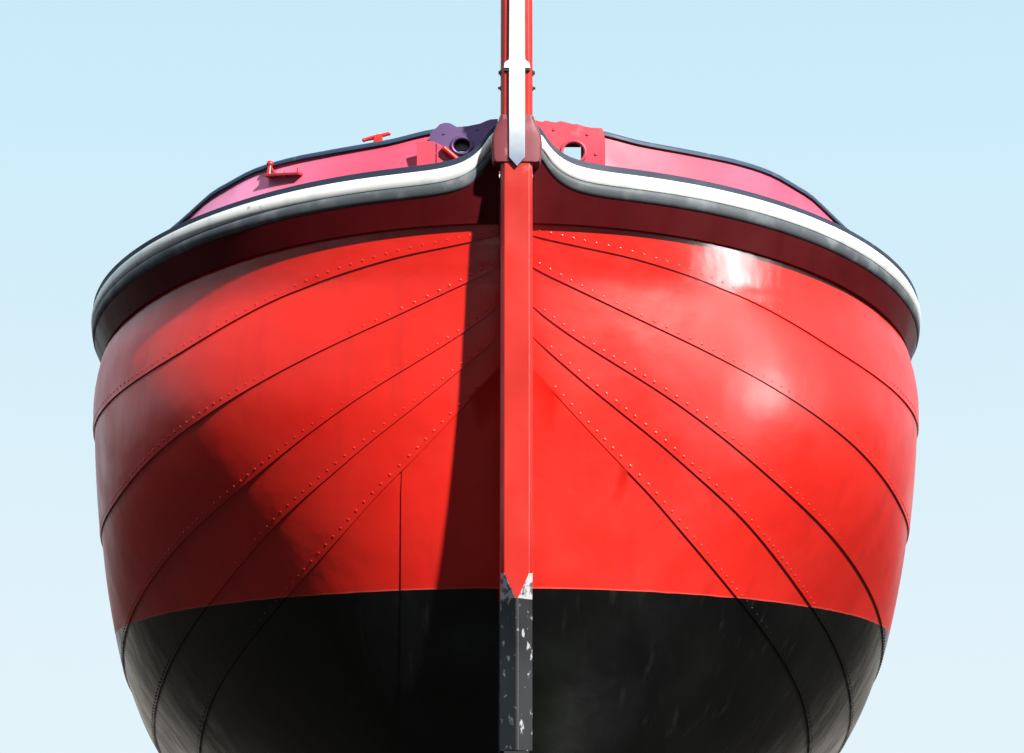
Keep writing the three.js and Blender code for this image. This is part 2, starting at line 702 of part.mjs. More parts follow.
// A wall drawn in (x, z) and standing at y
const athwart = (geometry, y) =>
  geometry
    .applyMatrix4(
      new THREE.Matrix4().makeBasis(
        new THREE.Vector3(1, 0, 0),
        new THREE.Vector3(0, 0, 1),
        new THREE.Vector3(0, -1, 0),
      ),
    )
    .translate(0, y, 0);

// A wall drawn in (y, z) and standing at x
const foreAndAft = (geometry, x) =>
  geometry
    .applyMatrix4(
      new THREE.Matrix4().makeBasis(
        new THREE.Vector3(0, 1, 0),
        new THREE.Vector3(0, 0, 1),
        new THREE.Vector3(1, 0, 0),
      ),
    )
    .translate(x, 0, 0);

const FRONT_WINDOWS = [
  { name: "front_starboard", centre: -560, half: 300, bottom: 2960, tall: 460 },
  { name: "front_port", centre: 560, half: 300, bottom: 2960, tall: 460 },
];
const SIDE_WINDOWS = [
  { name: "fore", centre: -900, half: 380, bottom: 2960, tall: 460 },
  { name: "aft", centre: 250, half: 380, bottom: 2960, tall: 460 },
];

function buildCabin() {
  const { half, front, back, top, wall } = CABIN;
  const foot = 2300;
  const lid = deckLid();
  const frontWall = wallWith(
    [[-half, foot], [half, foot], [half, top], [-half, top]],
    FRONT_WINDOWS,
    wall,
  );
  place("cabin_front", cut(athwart(frontWall, front + wall), lid), CREAM);
  for (const { name, sign } of SIDES) {
    const side = wallWith(
      [[front + wall + GAP, foot], [back - wall - GAP, foot], [back - wall - GAP, top], [front + wall + GAP, top]],
      SIDE_WINDOWS,
      wall,
    );
    const x = sign > 0 ? half - wall : -half;
    place("cabin_side_" + name, cut(foreAndAft(side, x), lid), CREAM);
    for (const w of SIDE_WINDOWS) {
      const pane = box(
        [x + wall / 2 - 4, w.centre - w.half + 1, w.bottom + 1],
        [x + wall / 2 + 4, w.centre + w.half - 1, w.bottom + w.tall - 1],
      );
      place(`glass_${w.name}_${name}`, trimmed(pane, "x", w), GLASS);
    }
  }
  for (const w of FRONT_WINDOWS) {
    const pane = box(
      [w.centre - w.half + 1, front + wall / 2 - 4, w.bottom + 1],
      [w.centre + w.half - 1, front + wall / 2 + 4, w.bottom + w.tall - 1],
    );
    place("glass_" + w.name, trimmed(pane, "y", w), GLASS);
  }
  const inWell = WELL.half - 2 * GAP;
  const backWall = wallWith(
    [
      [-inWell, WELL.floor + GAP],
      [inWell, WELL.floor + GAP],
      [inWell, foot + 40],
      [half, foot + 40],
      [half, top],
      [-half, top],
      [-half, foot + 40],
      [-inWell, foot + 40],
    ],
    [{ centre: 0, half: DOOR.half, bottom: DOOR.bottom, tall: DOOR.top - DOOR.bottom, corner: 6 }],
    wall,
  );
  place("cabin_back", cut(athwart(backWall, back), lid), CREAM);
  const over = CABIN.overhang;
  const roofRing = (y, z0) => [
    [-half - over, y, z0],
    [half + over, y, z0],
    [half + over, y, z0 + CABIN.roof],
    [half * 0.5, y, z0 + CABIN.roof + 26],
    [0, y, z0 + CABIN.roof + 34],
    [-half * 0.5, y, z0 + CABIN.roof + 26],
    [-half - over, y, z0 + CABIN.roof],
  ];
  place("cabin_roof", loft([roofRing(front - over, top + GAP), roofRing(back + over, top + GAP)]), RED);
  const d = DOOR;
  place(
    "cabin_door",
    box([-d.half + d.gap, back - d.thick, d.bottom + d.gap], [d.half - d.gap, back, d.top - d.gap]),
    WOOD,
  );
}

// Corner radii of the window openings, taken off a pane
function trimmed(pane, across, w) {
  const shape = [[w.centre - w.half, w.bottom], [w.centre + w.half, w.bottom + w.tall]];
  const inset = 1;
  const hole = wallWith(
    [
      [shape[0][0] - 50, shape[0][1] - 50],
      [shape[1][0] + 50, shape[0][1] - 50],
      [shape[1][0] + 50, shape[1][1] + 50],
      [shape[0][0] - 50, shape[1][1] + 50],
    ],
    [{ ...w, half: w.half - inset, bottom: w.bottom + inset, tall: w.tall - 2 * inset }],
    3000,
  );
  const tool = across === "x" ? foreAndAft(hole, -1500) : athwart(hole, 0);
  return cut(pane, tool);
}

// Everything under the deck's upper face, to seat what stands on the deck
function deckLid() {
  return cut(hullForm().translate(0, 0, DECK_THICK + 2 * GAP), wellBox());
}

function buildHatch() {
  const z = HATCH.top;
  const outer = box([-HATCH.half, HATCH.front, WELL.floor], [HATCH.half, HATCH.back, z]);
  const w = HATCH.wall;
  const inner = box([-HATCH.half + w, HATCH.front + w, 0], [HATCH.half - w, HATCH.back - w, ABOVE]);
  place("fore_hatch_coaming", cut(outer, inner, deckLid()), CREAM);
  const lip = HATCH.half + 12;
  const lid = box([-lip, HATCH.front - 12, z + GAP], [lip, HATCH.back + 12, z + HATCH.lid]);
  place("fore_hatch_lid", lid, RED);
}

// A pair of posts joined by a cross bar
function bitts(name, x, y, spread, height) {
  const z = deckZ(y);
  const posts = [-1, 1].map((s) => bar([x + s * spread, y, z - 200], [x + s * spread, y, z + height], 45, 16));
  const cross = bar([x - spread - 140, y, z + height * 0.62], [x + spread + 140, y, z + height * 0.62], 26, 12);
  const foot = box([x - spread - 110, y - 90, z - 200], [x + spread + 110, y + 90, z + 14]);
  place(name, cut(join(...posts, cross, foot), deckLid()), BLACK);
}

// Two fittings on the starboard bulwark: a short horn on the rail, and aft of it a shelf
// on the bulwark's face with a knob that stands above the rail
const RAIL_HORN = { station: 2.9, length: 104, low: 16, high: 34, radius: 9, lug: 13, seat: 3 };
const RAIL_SHELF = { front: 4.5, back: 5.4, inner: -70, outer: -38, bottom: 116, top: 128, knob: 15, knobTop: 226 };
function buildRailCleats() {
  const inset = BULWARK_LEAN + BULWARK_THICK / 2 - BULWARK_IN;
  const on = (p, out, up) => [-(p.x + p.nx * out), p.y + p.ny * out, p.z + up];
  const h = RAIL_HORN;
  const p = edgePoint(h.station);
  const railTop = BULWARK_HEIGHT + RAIL_HEIGHT;
  const [x, y, z] = on(p, -inset, railTop + h.seat);
  const end = (d, up) => [x + p.ny * d, y + p.nx * d, z + up];
  const horn = bar(end(-h.length / 2, h.high), end(h.length / 2, h.low), h.radius, 10);
  const foot = box([x - h.lug, y - h.lug, z], [x + h.lug, y + h.lug, z + (h.low + h.high) / 2]);
  place("rail_cleat_fore", join(horn, foot), RED);
  const s = RAIL_SHELF;
  const line = [s.front, mix(s.front, s.back, 0.5), s.back].map(edgePoint);
  const shelf = strip(-1, [[s.inner, s.bottom], [s.outer, s.bottom], [s.outer, s.top], [s.inner, s.top]], line);
  const middle = (s.inner + s.outer) / 2;
  const last = edgePoint(s.back - 0.12);
  const knob = bar(on(last, middle + 3, s.bottom), on(last, middle + 3, s.knobTop), s.knob, 12);
  const lugs = [0.3, 0.62].map((t) => {
    const q = edgePoint(mix(s.front, s.back, t));
    return bar(on(q, middle, s.bottom), on(q, middle, s.top + 22), 8, 8);
  });
  place("rail_cleat_aft", join(shelf, knob, ...lugs), RED);
}

function buildCockpit() {
  for (const { name, sign } of SIDES) {
    const [a, b] = [WELL.half - 2, WELL.half - BENCH.depth].map((v) => v * sign);
    const [low, high] = [Math.min(a, b), Math.max(a, b)];
    const y0 = CABIN.back + 40;
    const y1 = WELL.back - 2;
    const seat = box([low, y0, BENCH.top - BENCH.thick], [high, y1, BENCH.top]);
    const kneeX = sign * (WELL.half - BENCH.depth + 40);
    const riser = box([kneeX - 15, y0, WELL.floor + GAP], [kneeX + 15, y1, BENCH.top - 10]);
    place("bench_" + name, join(seat, riser), WOOD);
  }
  const c = CASING;
  const outer = box([-c.half, c.front, WELL.floor + GAP], [c.half, c.back, c.top]);
  const inner = box([-c.half + c.wall, c.front + c.wall, 1000], [c.half - c.wall, c.back - c.wall, c.top + 10]);
  place("engine_casing", cut(outer, inner), CREAM);
  place("engine_lid", box([-c.half - 14, c.front - 14, c.top + GAP], [c.half + 14, c.back + 14, c.top + 36]), RED);
  place(
    "engine",
    box([-c.half + 90, c.front + 100, WELL.floor + GAP], [c.half - 90, c.back - 100, c.top - 80]),
    GALVANISED,
  );
}

// Rudder, hung on the post by a pin through the gudgeons, with its tiller
const RUDDER = { thick: 50, bottom: 100, top: STERNPOST.top + 40, head: 84 };
const TILLER = { z: STERNPOST.top + 110, end: 3350, rise: 60, radius: 32 };
function buildSteering() {
  const y = RUDDER_AXIS_Y;
  const shape = new THREE.Shape();
  shape.moveTo(y, RUDDER.bottom);
  shape.lineTo(y + RUDDER_CHORD - 90, RUDDER.bottom);
  shape.quadraticCurveTo(y + RUDDER_CHORD, RUDDER.bottom + 20, y + RUDDER_CHORD, RUDDER.bottom + 260);
  shape.lineTo(y + RUDDER_CHORD, WATERLINE_Z + 60);
  shape.quadraticCurveTo(y + RUDDER_CHORD, WATERLINE_Z + 330, y + 220, WATERLINE_Z + 560);
  shape.lineTo(y + 130, RUDDER.top);
  shape.lineTo(y, RUDDER.top);
  shape.closePath();
  const blade = upright(shape, RUDDER.thick / 2, 8);
  const stock = bar([0, y, RUDDER.bottom], [0, y, RUDDER.top], RUDDER.head / 2, 16);
  const reach = GUDGEON.radius + GUDGEON.clear;
  const notches = GUDGEON.levels.map((z) => {
    const half = GUDGEON.tall / 2 + GUDGEON.clear;
    return bar([0, y, z - half], [0, y, z + half], reach, 20);
  });
  const pin = bar([0, y, RUDDER.bottom + 40], [0, y, RUDDER.top], GUDGEON.pin, 16);
  place("rudder", join(cut(join(blade, stock), ...notches), pin), RED);
  const yoke = box([-60, y - 60, RUDDER.top + GAP], [60, y + 140, TILLER.z + 40]);
  const arm = bar([0, y, TILLER.z], [0, TILLER.end, TILLER.z + TILLER.rise], TILLER.radius, 12);
  place("tiller", join(yoke, arm), WOOD);
}

function buildScrew() {
  const s = SCREW;
  const hub = bar([0, s.y - 80, s.z], [0, s.y + 90, s.z], s.hub, 20);
  const blades = [];
  for (let k = 0; k < s.blades; k++) {
    const rings = [0, 0.3, 0.65, 1].map((t) => {
      const r = mix(s.hub * 0.5, s.radius, t);
      const wide = 210 * Math.sin(Math.PI * (0.2 + 0.62 * t));
      const pitch = Math.atan2(300, Math.PI * s.radius);
      const thick = mix(40, 12, t);
      const [c, d] = [Math.cos(pitch), Math.sin(pitch)];
      return [
        [-wide / 2, 0],
        [0, thick / 2],
        [wide / 2, 0],
        [0, -thick / 2],
      ].map(([u, v]) => [u * c - v * d, u * d + v * c, r]);
    });
    const blade = loft(rings).rotateY((k * 2 * Math.PI) / s.blades);
    blades.push(blade.translate(0, s.y, s.z));
  }
  place("propeller", join(hub, ...blades), BRONZE);
  const shaft = bar([0, s.y - 80 - GAP, s.z], [0, APERTURE.front - SHAFT.inside + 2, s.z], SHAFT.radius, 16);
  place("propeller_shaft", shaft, GALVANISED);
}

function buildDeckFittings() {
  bitts("bitts_fore", 0, -4450, 130, 330);
  bitts("bollard_port", 900, 3850, 90, 230);
  bitts("bollard_starboard", -900, 3850, 90, 230);
  for (const { name, sign } of SIDES) {
    const [x, y] = [sign * 700, -2350];
    const z = deckZ(y);
    const post = bar([x, y, z - 200], [x, y, z + 210], 60, 16);
    const dome = new THREE.LatheGeometry(
      [[0, 200], [115, 200], [115, 222], [100, 250], [60, 272], [0, 280]].map(([a, b]) => new THREE.Vector2(a, b)),
      16,
    ).rotateX(Math.PI / 2);
    place("ventilator_" + name, cut(join(post, dome.translate(x, y, z)), deckLid()), CREAM);
    const railX = sign * 1040;
    const roofZ = CABIN.top + CABIN.roof + 3;
    const pieces = [bar([railX, -1250, roofZ + 78], [railX, 950, roofZ + 78], 14, 10)];
    for (const py of [-1200, -500, 200, 900]) pieces.push(bar([railX, py, roofZ + 12], [railX, py, roofZ + 80], 12, 10));
    const roofTop = box([-1400, -2000, 3000], [1400, 1600, roofZ + 14]);
    place("roof_rail_" + name, cut(join(...pieces), roofTop), GALVANISED);
  }
  const z = CABIN.top + CABIN.roof + 34 + 2;
  place("exhaust", join(bar([0, 700, z], [0, 700, z + 420], 75, 20), bar([0, 700, z + 380], [0, 700, z + 440], 84, 20)), BLACK);
}

buildHull();
buildBackbone();
buildStemHead();
buildFenders();
buildBulwark();
buildHawseBoards();
buildDeck();
buildCabin();
buildHatch();
buildRailCleats();
buildCockpit();
buildSteering();
buildScrew();
buildDeckFittings();

export default boat;
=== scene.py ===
from functools import cache
from math import atan2, cos, exp, pi, radians, sin

import bmesh
import bpy
from mathutils import Matrix, Vector, noise


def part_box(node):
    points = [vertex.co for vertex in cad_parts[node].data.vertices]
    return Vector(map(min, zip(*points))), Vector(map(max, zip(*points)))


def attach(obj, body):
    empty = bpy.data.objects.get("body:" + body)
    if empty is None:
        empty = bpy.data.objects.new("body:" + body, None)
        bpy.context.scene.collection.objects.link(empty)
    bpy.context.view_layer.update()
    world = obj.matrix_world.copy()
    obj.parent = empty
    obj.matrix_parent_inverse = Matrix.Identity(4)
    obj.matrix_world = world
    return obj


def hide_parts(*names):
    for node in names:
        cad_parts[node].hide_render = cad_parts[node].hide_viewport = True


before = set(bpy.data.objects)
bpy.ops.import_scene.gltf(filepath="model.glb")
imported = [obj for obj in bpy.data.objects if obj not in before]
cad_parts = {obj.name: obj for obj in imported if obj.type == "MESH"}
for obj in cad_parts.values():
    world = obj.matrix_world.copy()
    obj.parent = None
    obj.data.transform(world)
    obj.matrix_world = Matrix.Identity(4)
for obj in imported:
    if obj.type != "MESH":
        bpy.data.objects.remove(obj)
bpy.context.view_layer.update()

# Hull form in metres, the same lines as the solids
FLOOR_Z = 0.08
WIDEST_Z = 2.09
SHEER_Z = 2.373
PAINT_LINE_Z = 1.1
SHELL_HALF = 1.988
TUMBLEHOME = 0.053
SECTION_POWER = 4.5
STEM_Y = -5.796756
STERN_Y = 5.27
STEM_RAKE = 0.142
BAR_RAKE = 0.02
BAR_Y = -5.982
BAR_BACK = 0.07
POST_DEEP = 0.13
KNEE_Z = 2.83
STRAP_TOP_Z = 3.69
BOW_RISE = 0.435
STERN_RISE = 0.3
SHEER_RUN = 4.3
SHEER_POWER = 1.52
BOW_SHEER_Z = SHEER_Z + BOW_RISE
BOW_STEPS = 14
MID_STEPS = 5
STERN_STEPS = 13
STATIONS = BOW_STEPS + MID_STEPS + STERN_STEPS
SHEER_ROUNDS = 6
DIRECTION_STEP = 0.2
HALVINGS = 30
CURL_STATIONS = 3
CURL_STEP = 0.09
SHEER_STEP = 0.25
SHORTEST_STEP = 0.3
# Level, length of the waterline's end, its roundness and how hollow it is
BOW_LINES = ((0.3, 4.6, 1.65, 1), (1.1, 3.2, 1.92, 1), (1.9, 2.55, 2.4, 1), (2.373, 2.21, 2, 1))
STERN_LINES = ((0.3, 4.9, 1.85, 3.4), (1.1, 3.9, 1.85, 1.35), (2.373, 2.9, 1.95, 1))

DECK_DROP = 0.025
CAMBER = 0.07
FENDER_WHITE = 0.054
FENDER_BLACK = 0.058
CAPPING_STATIONS = (0, 6, 11, 32)
CAPPING_OUT = (0.022, 0.022, 0.053, 0.053)
CAPPING_HIGH = 0.038
SHELF_DROP = 0.105
SHELF_OUT = 0.045
CASING_HALF = 0.098
CURL = 0.15
CURL_RUN = 0.075
BULWARK_LEAN = 0.33
BULWARK_STATIONS = (0, 1.8, 2.6, 4, 4.8, 5.9, 6.5, 7, 7.5, 8, 9, 25, 28, 32)
BULWARK_HEIGHTS = (0.192, 0.192, 0.172, 0.172, 0.18, 0.18, 0.162, 0.148, 0.11, 0.078, 0.05, 0.05, 0.11, 0.11)
BULWARK_THICK = 0.014
BULWARK_IN = -0.03
BULWARK_FOOT = -DECK_DROP + 0.0024
RAIL_WIDTH = 0.042
RAIL_HEIGHT = 0.021
RAIL_GAP = 0.0004
# Half-width and height of the rounded rail, as shares
RAIL_ROUND = ((1, 0), (1, 0.5), (0.8, 0.85), (0.4, 1), (-0.4, 1), (-0.8, 0.85), (-1, 0.5), (-1, 0))


def mix(a, b, t):
    return a + (b - a) * t


def held(value):
    return min(1.0, max(0.0, value))


def through(xs, ys, x):
    """A smooth line through points, read at x."""
    x = min(xs[-1], max(xs[0], x))
    i = max(n for n in range(len(xs) - 1) if xs[n] <= x)
    slopes = [(ys[n + 1] - ys[n]) / (xs[n + 1] - xs[n]) for n in range(len(xs) - 1)]
    start = slopes[i] if i == 0 else (slopes[i - 1] + slopes[i]) / 2
    end = slopes[i] if i == len(slopes) - 1 else (slopes[i] + slopes[i + 1]) / 2
    width = xs[i + 1] - xs[i]
    t = (x - xs[i]) / width
    rise = ys[i + 1] - ys[i]
    curve = (start + end) * width - 2 * rise
    return ys[i] + t * start * width + t * t * (3 * rise - (2 * start + end) * width) + t**3 * curve


def end_lines(rows, z):
    """Length, roundness and hollow of a waterline's end at a level."""
    levels, *shapes = zip(*rows)
    return [through(levels, shape, z) for shape in shapes]


def stem_y(z):
    """The plating's foremost line."""
    return STEM_Y + STEM_RAKE * (BOW_SHEER_Z - z)


def bar_front(z):
    """The stem bar's face, almost upright."""
    return BAR_Y + BAR_RAKE * (STRAP_TOP_Z - z)


def bar_back(z):
    """Its back: inside the plating, and above the knee a post's thickness behind the face."""
    return bar_front(z) + POST_DEEP if z > KNEE_Z else stem_y(z) + BAR_BACK


def sheer_z(y):
    bow = held(1 - (y - STEM_Y) / SHEER_RUN)
    stern = held(1 - (STERN_Y - y) / SHEER_RUN)
    return SHEER_Z + BOW_RISE * bow**SHEER_POWER + STERN_RISE * stern**SHEER_POWER


def section(g):
    """Level and half-breadth of the midship section: g is 0 at the keel and 1 at the widest."""
    if g >= 1:
        z = WIDEST_Z + (g - 1) * WIDEST_Z
        lean = (min(z, SHEER_Z) - WIDEST_Z) / (SHEER_Z - WIDEST_Z)
        return z, SHELL_HALF - TUMBLEHOME * lean**2
    across, down = sin(g * pi / 2), cos(g * pi / 2)
    size = (across**SECTION_POWER + down**SECTION_POWER) ** (1 / SECTION_POWER)
    return WIDEST_Z - (WIDEST_Z - FLOOR_Z) * down / size, SHELL_HALF * across / size


def girth_of(z):
    """The g of a level on the section."""
    if z >= WIDEST_Z:
        return 1 + (z - WIDEST_Z) / WIDEST_Z
    down = held((WIDEST_Z - z) / (WIDEST_Z - FLOOR_Z))
    across = (1 - down**SECTION_POWER) ** (1 / SECTION_POWER)
    return atan2(across, down) / (pi / 2)


def shell_at(station, z, half):
    """Half-breadth and place along the boat of the plating."""
    bow_length, bow_round, _ = end_lines(BOW_LINES, z)
    stern_length, stern_round, hollow = end_lines(STERN_LINES, z)
    if station <= BOW_STEPS:
        turn = station / BOW_STEPS * pi / 2
        along = stem_y(z) + bow_length * (1 - max(0, cos(turn)) ** (2 / bow_round))
        return half * sin(turn) ** (2 / bow_round), along
    if station >= BOW_STEPS + MID_STEPS:
        turn = (STATIONS - station) / STERN_STEPS * pi / 2
        along = STERN_Y - stern_length * (1 - max(0, cos(turn)) ** (2 / stern_round))
        return half * max(0, sin(turn)) ** (2 * hollow / stern_round), along
    t = (station - BOW_STEPS) / MID_STEPS
    return half, mix(stem_y(z) + bow_length, STERN_Y - stern_length, t)


def shell_point(station, g):
    z, half = section(g)
    x, y = shell_at(station, z, half)
    return Vector((x, y, z))


def shell_level(station, z):
    half = section(girth_of(z))[1]
    return shell_at(station, z, half)


@cache
def sheer_place(station):
    """The sheer's point at a station, found in rounds because its level depends on its place."""
    z = SHEER_Z
    for _ in range(SHEER_ROUNDS):
        z = sheer_z(shell_level(station, z)[1])
    return (*shell_level(station, z), z)


def sheer_point(station):
    return Vector(sheer_place(station))


@cache
def sheer_direction(station):
    """Direction out from the sheer, in plan."""
    before = sheer_point(max(0, station - DIRECTION_STEP))
    after = sheer_point(min(STATIONS, station + DIRECTION_STEP))
    along = (after - before).to_2d().normalized()
    return along.y, -along.x


def halved(low, high, reached):
    """The ends of the short stretch in which reached turns true, by halving."""
    for _ in range(HALVINGS):
        middle = (low + high) / 2
        if reached(middle):
            high = middle
        else:
            low = middle
    return low, high


def station_of(x, inside, outside):
    """The station where the sheer has a half-breadth."""
    return halved(outside, inside, lambda station: sheer_point(station).x >= x)[1]


def stations_between(first, last):
    """Stations along the sheer, close together where the fender curls up at the stem."""
    line = [first]
    while line[-1] < last - SHORTEST_STEP:
        line.append(line[-1] + (CURL_STEP if line[-1] < CURL_STATIONS else SHEER_STEP))
    return line + [last]


def line_between(bow_half, stern_half):
    """Stations of a line along the sheer that ends at these half-breadths."""
    first = station_of(bow_half, BOW_STEPS, 0)
    last = station_of(stern_half, BOW_STEPS + MID_STEPS, STATIONS)
    return stations_between(first, last)


def curl(x, y):
    return CURL * exp(-max(0, x - CASING_HALF) / CURL_RUN) if y < 0 else 0


def off_sheer(side, station, out, up, curled=1.0):
    """A point on one side: out from the plating, up from the sheer, lifted with the curl at the stem."""
    p = sheer_point(station)
    across, along = sheer_direction(station)
    lift = curl(p.x, p.y) * curled
    x, y = shell_level(station, p.z + lift)
    return Vector((side * (x + across * out), y + along * out, p.z + up + lift))


# Mesh helpers
MERGE = 1e-5
CORNER_STEPS = 5
CREASE = 32
EDGE_STEPS = 2
EDGE_ANGLE = radians(35)


def sheet(columns, rows, point):
    """A sheet of columns by rows with its corners moved to point(column, row)."""
    bm = bmesh.new()
    bmesh.ops.create_grid(bm, x_segments=columns - 1, y_segments=rows - 1, size=0.5)
    for index, vert in enumerate(bm.verts):
        vert.co = point(index % columns, index // columns)
    return bm


def sealed(bm):
    """The doubles merged, the open ends closed and the faces turned outwards."""
    bmesh.ops.remove_doubles(bm, verts=bm.verts, dist=MERGE)
    bmesh.ops.holes_fill(bm, edges=bm.edges, sides=0)
    bmesh.ops.recalc_face_normals(bm, faces=bm.faces)
    return bm


def moulding(side, outline, line):
    """A bar along the sheer. Its outline, fixed or given by station, is out from the plating and up."""
    rings = [outline(station) if callable(outline) else outline for station in line]
    count = len(rings[0])
    return sealed(sheet(len(line), count + 1, lambda i, j: off_sheer(side, line[i], *rings[i][j % count])))


def add_block(bm, low, high, finish=0):
    size = Vector(high) - Vector(low)
    centre = (Vector(high) + Vector(low)) / 2
    place = Matrix.Translation(centre) @ Matrix.Diagonal((*size, 1))
    made = bmesh.ops.create_cube(bm, size=1, matrix=place)["verts"]
    for face in {face for vert in made for face in vert.link_faces}:
        face.material_index = finish


def add_side_block(bm, side, low, high):
    """A block given for the port side, and mirrored to starboard where side is -1."""
    left, right = sorted((side * low[0], side * high[0]))
    add_block(bm, (left, *low[1:]), (right, *high[1:]))


def add_bar(bm, start, end, radius, tip=None, sides=16):
    start, end = Vector(start), Vector(end)
    along = end - start
    place = Matrix.Translation((start + end) / 2) @ along.to_track_quat("Z", "Y").to_matrix().to_4x4()
    tip = radius if tip is None else tip
    bmesh.ops.create_cone(
        bm, cap_ends=True, segments=sides, radius1=radius, radius2=tip, depth=along.length, matrix=place
    )


def add_ball(bm, place, radius, across=16, up=10):
    bmesh.ops.create_uvsphere(
        bm, u_segments=across, v_segments=up, radius=radius, matrix=Matrix.Translation(place)
    )


def spun(bm, axis, steps):
    """The bmesh's profile turned once round an axis through the origin."""
    bmesh.ops.spin(
        bm, geom=bm.verts[:] + bm.edges[:], cent=(0, 0, 0), axis=axis, dvec=(0, 0, 0), angle=2 * pi,
        steps=steps, use_merge=True, use_duplicate=False,
    )


def lofted(rings):
    """A closed form through rings of the same number of corners."""
    count = len(rings[0])
    return sealed(sheet(len(rings), count + 1, lambda i, j: Vector(rings[i][j % count])))


def bent_bar(points, radii, sides=16):
    """A round bar along points, with a radius at each."""
    points = [Vector(p) for p in points]
    rings = []
    for i, p in enumerate(points):
        along = points[min(i + 1, len(points) - 1)] - points[max(i - 1, 0)]
        turn = along.to_track_quat("Z", "Y")
        circle = [2 * pi * k / sides for k in range(sides)]
        rings.append([p + turn @ Vector((cos(a) * radii[i], sin(a) * radii[i], 0)) for a in circle])
    return lofted(rings)


def turned(profile, centre, steps=40):
    """A form turned on a lathe: the profile gives radius and height."""
    bm = bmesh.new()
    verts = [bm.verts.new((radius, 0, height)) for radius, height in profile]
    for pair in zip(verts, verts[1:]):
        bm.edges.new(pair)
    spun(bm, (0, 0, 1), steps)
    bmesh.ops.remove_doubles(bm, verts=bm.verts, dist=MERGE)
    bmesh.ops.recalc_face_normals(bm, faces=bm.faces)
    bmesh.ops.translate(bm, verts=bm.verts, vec=centre)
    return bm


def facing(out, place):
    """A frame whose own z looks out and whose y is up."""
    out, up = Vector(out), Vector((0, 0, 1))
    turn = Matrix((up.cross(out), up, out)).transposed().to_4x4()
    return Matrix.Translation(place) @ turn


def rounded_plate(width, height, corner):
    """A flat plate with rounded corners, on the floor."""
    bm = bmesh.new()
    bmesh.ops.create_grid(bm, x_segments=1, y_segments=1, size=0.5)
    bmesh.ops.scale(bm, verts=bm.verts, vec=(width, height, 1))
    bmesh.ops.bevel(
        bm, geom=bm.verts[:], offset=corner, offset_type="OFFSET", segments=CORNER_STEPS, profile=0.5,
        affect="VERTICES", material=-1,
    )
    return bm


def thickened(bm, thick):
    grown = bmesh.ops.extrude_face_region(bm, geom=bm.faces[:])["geom"]
    raised = [part for part in grown if isinstance(part, bmesh.types.BMVert)]
    bmesh.ops.translate(bm, verts=raised, vec=(0, 0, thick))
    bmesh.ops.recalc_face_normals(bm, faces=bm.faces)
    return bm


def window_ring(width, height, corner, wide, thick):
    """A flat ring with rounded corners round an opening."""
    bm = rounded_plate(width + 2 * wide, height + 2 * wide, corner + wide)
    middle = bm.faces[:]
    bmesh.ops.inset_individual(bm, faces=middle, thickness=wide)
    bmesh.ops.delete(bm, geom=middle, context="FACES_ONLY")
    return thickened(bm, thick)


def add_copy(bm, other, matrix=None):
    """Adds another shape, set in place, and frees it."""
    if matrix:
        bmesh.ops.transform(other, matrix=matrix, verts=other.verts)
    mesh = bpy.data.meshes.new("copied")
    other.to_mesh(mesh)
    other.free()
    bm.from_mesh(mesh)
    bpy.data.meshes.remove(mesh)


def make_piece(name, bm, finishes, slot, body="boat", stands_for=(), crease=CREASE, bevel=0):
    mesh = bpy.data.meshes.new(name)
    bm.to_mesh(mesh)
    bm.free()
    for finish in finishes:
        mesh.materials.append(finish)
    mesh.shade_smooth()
    mesh.set_sharp_from_angle(angle=radians(crease))
    piece = bpy.data.objects.new(name, mesh)
    bpy.context.collection.objects.link(piece)
    if bevel:
        soften = piece.modifiers.new("edges", "BEVEL")
        soften.width = bevel
        soften.segments = EDGE_STEPS
        soften.limit_method = "ANGLE"
        soften.angle_limit = EDGE_ANGLE
        soften.harden_normals = True
    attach(piece, body)
    if stands_for:
        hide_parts(*stands_for)
    return piece


def carve(piece, cutter_bm):
    """Cuts a shape out of a piece and keeps the result as its mesh."""
    mesh = bpy.data.meshes.new("cutter")
    cutter_bm.to_mesh(mesh)
    cutter_bm.free()
    cutter = bpy.data.objects.new("cutter", mesh)
    bpy.context.collection.objects.link(cutter)
    cut = piece.modifiers.new("cut", "BOOLEAN")
    cut.object = cutter
    cut.operation = "DIFFERENCE"
    cut.solver = "EXACT"
    bpy.context.view_layer.update()
    seen = piece.evaluated_get(bpy.context.evaluated_depsgraph_get())
    whole = bpy.data.meshes.new_from_object(seen)
    piece.modifiers.clear()
    piece.data = whole
    bpy.data.objects.remove(cutter)
    whole.set_sharp_from_angle(angle=radians(CREASE))
    return piece


# Shader helpers

def node(tree, kind, inputs=None, **settings):
    made = tree.nodes.new(kind)
    for key, value in settings.items():
        setattr(made, key, value)
    for key, value in (inputs or {}).items():
        if isinstance(value, bpy.types.NodeSocket):
            tree.links.new(value, made.inputs[key])
        else:
            made.inputs[key].default_value = value
    return made


def maths(tree, operation, a, b=0.0):
    return node(tree, "ShaderNodeMath", {0: a, 1: b}, operation=operation).outputs[0]


def ramped(tree, value, low, high, to_low=0.0, to_high=1.0):
    inputs = {"Value": value, "From Min": low, "From Max": high, "To Min": to_low, "To Max": to_high}
    return node(tree, "ShaderNodeMapRange", inputs, interpolation_type="SMOOTHSTEP").outputs[0]


def blended(tree, factor, a, b):
    made = node(tree, "ShaderNodeMix", {0: factor, 6: a, 7: b}, data_type="RGBA")
    return made.outputs[2]


def coordinates(tree, stretch=None):
    place = node(tree, "ShaderNodeTexCoord").outputs["Object"]
    if stretch:
        place = node(tree, "ShaderNodeMapping", {"Vector": place, "Scale": stretch}).outputs[0]
    return place


def coordinate(tree, axis):
    return node(tree, "ShaderNodeSeparateXYZ", {0: coordinates(tree)}).outputs[axis]


def noise_at(tree, scale, detail=3.0, stretch=None):
    inputs = {"Vector": coordinates(tree, stretch), "Scale": scale, "Detail": detail}
    return node(tree, "ShaderNodeTexNoise", inputs).outputs[0]


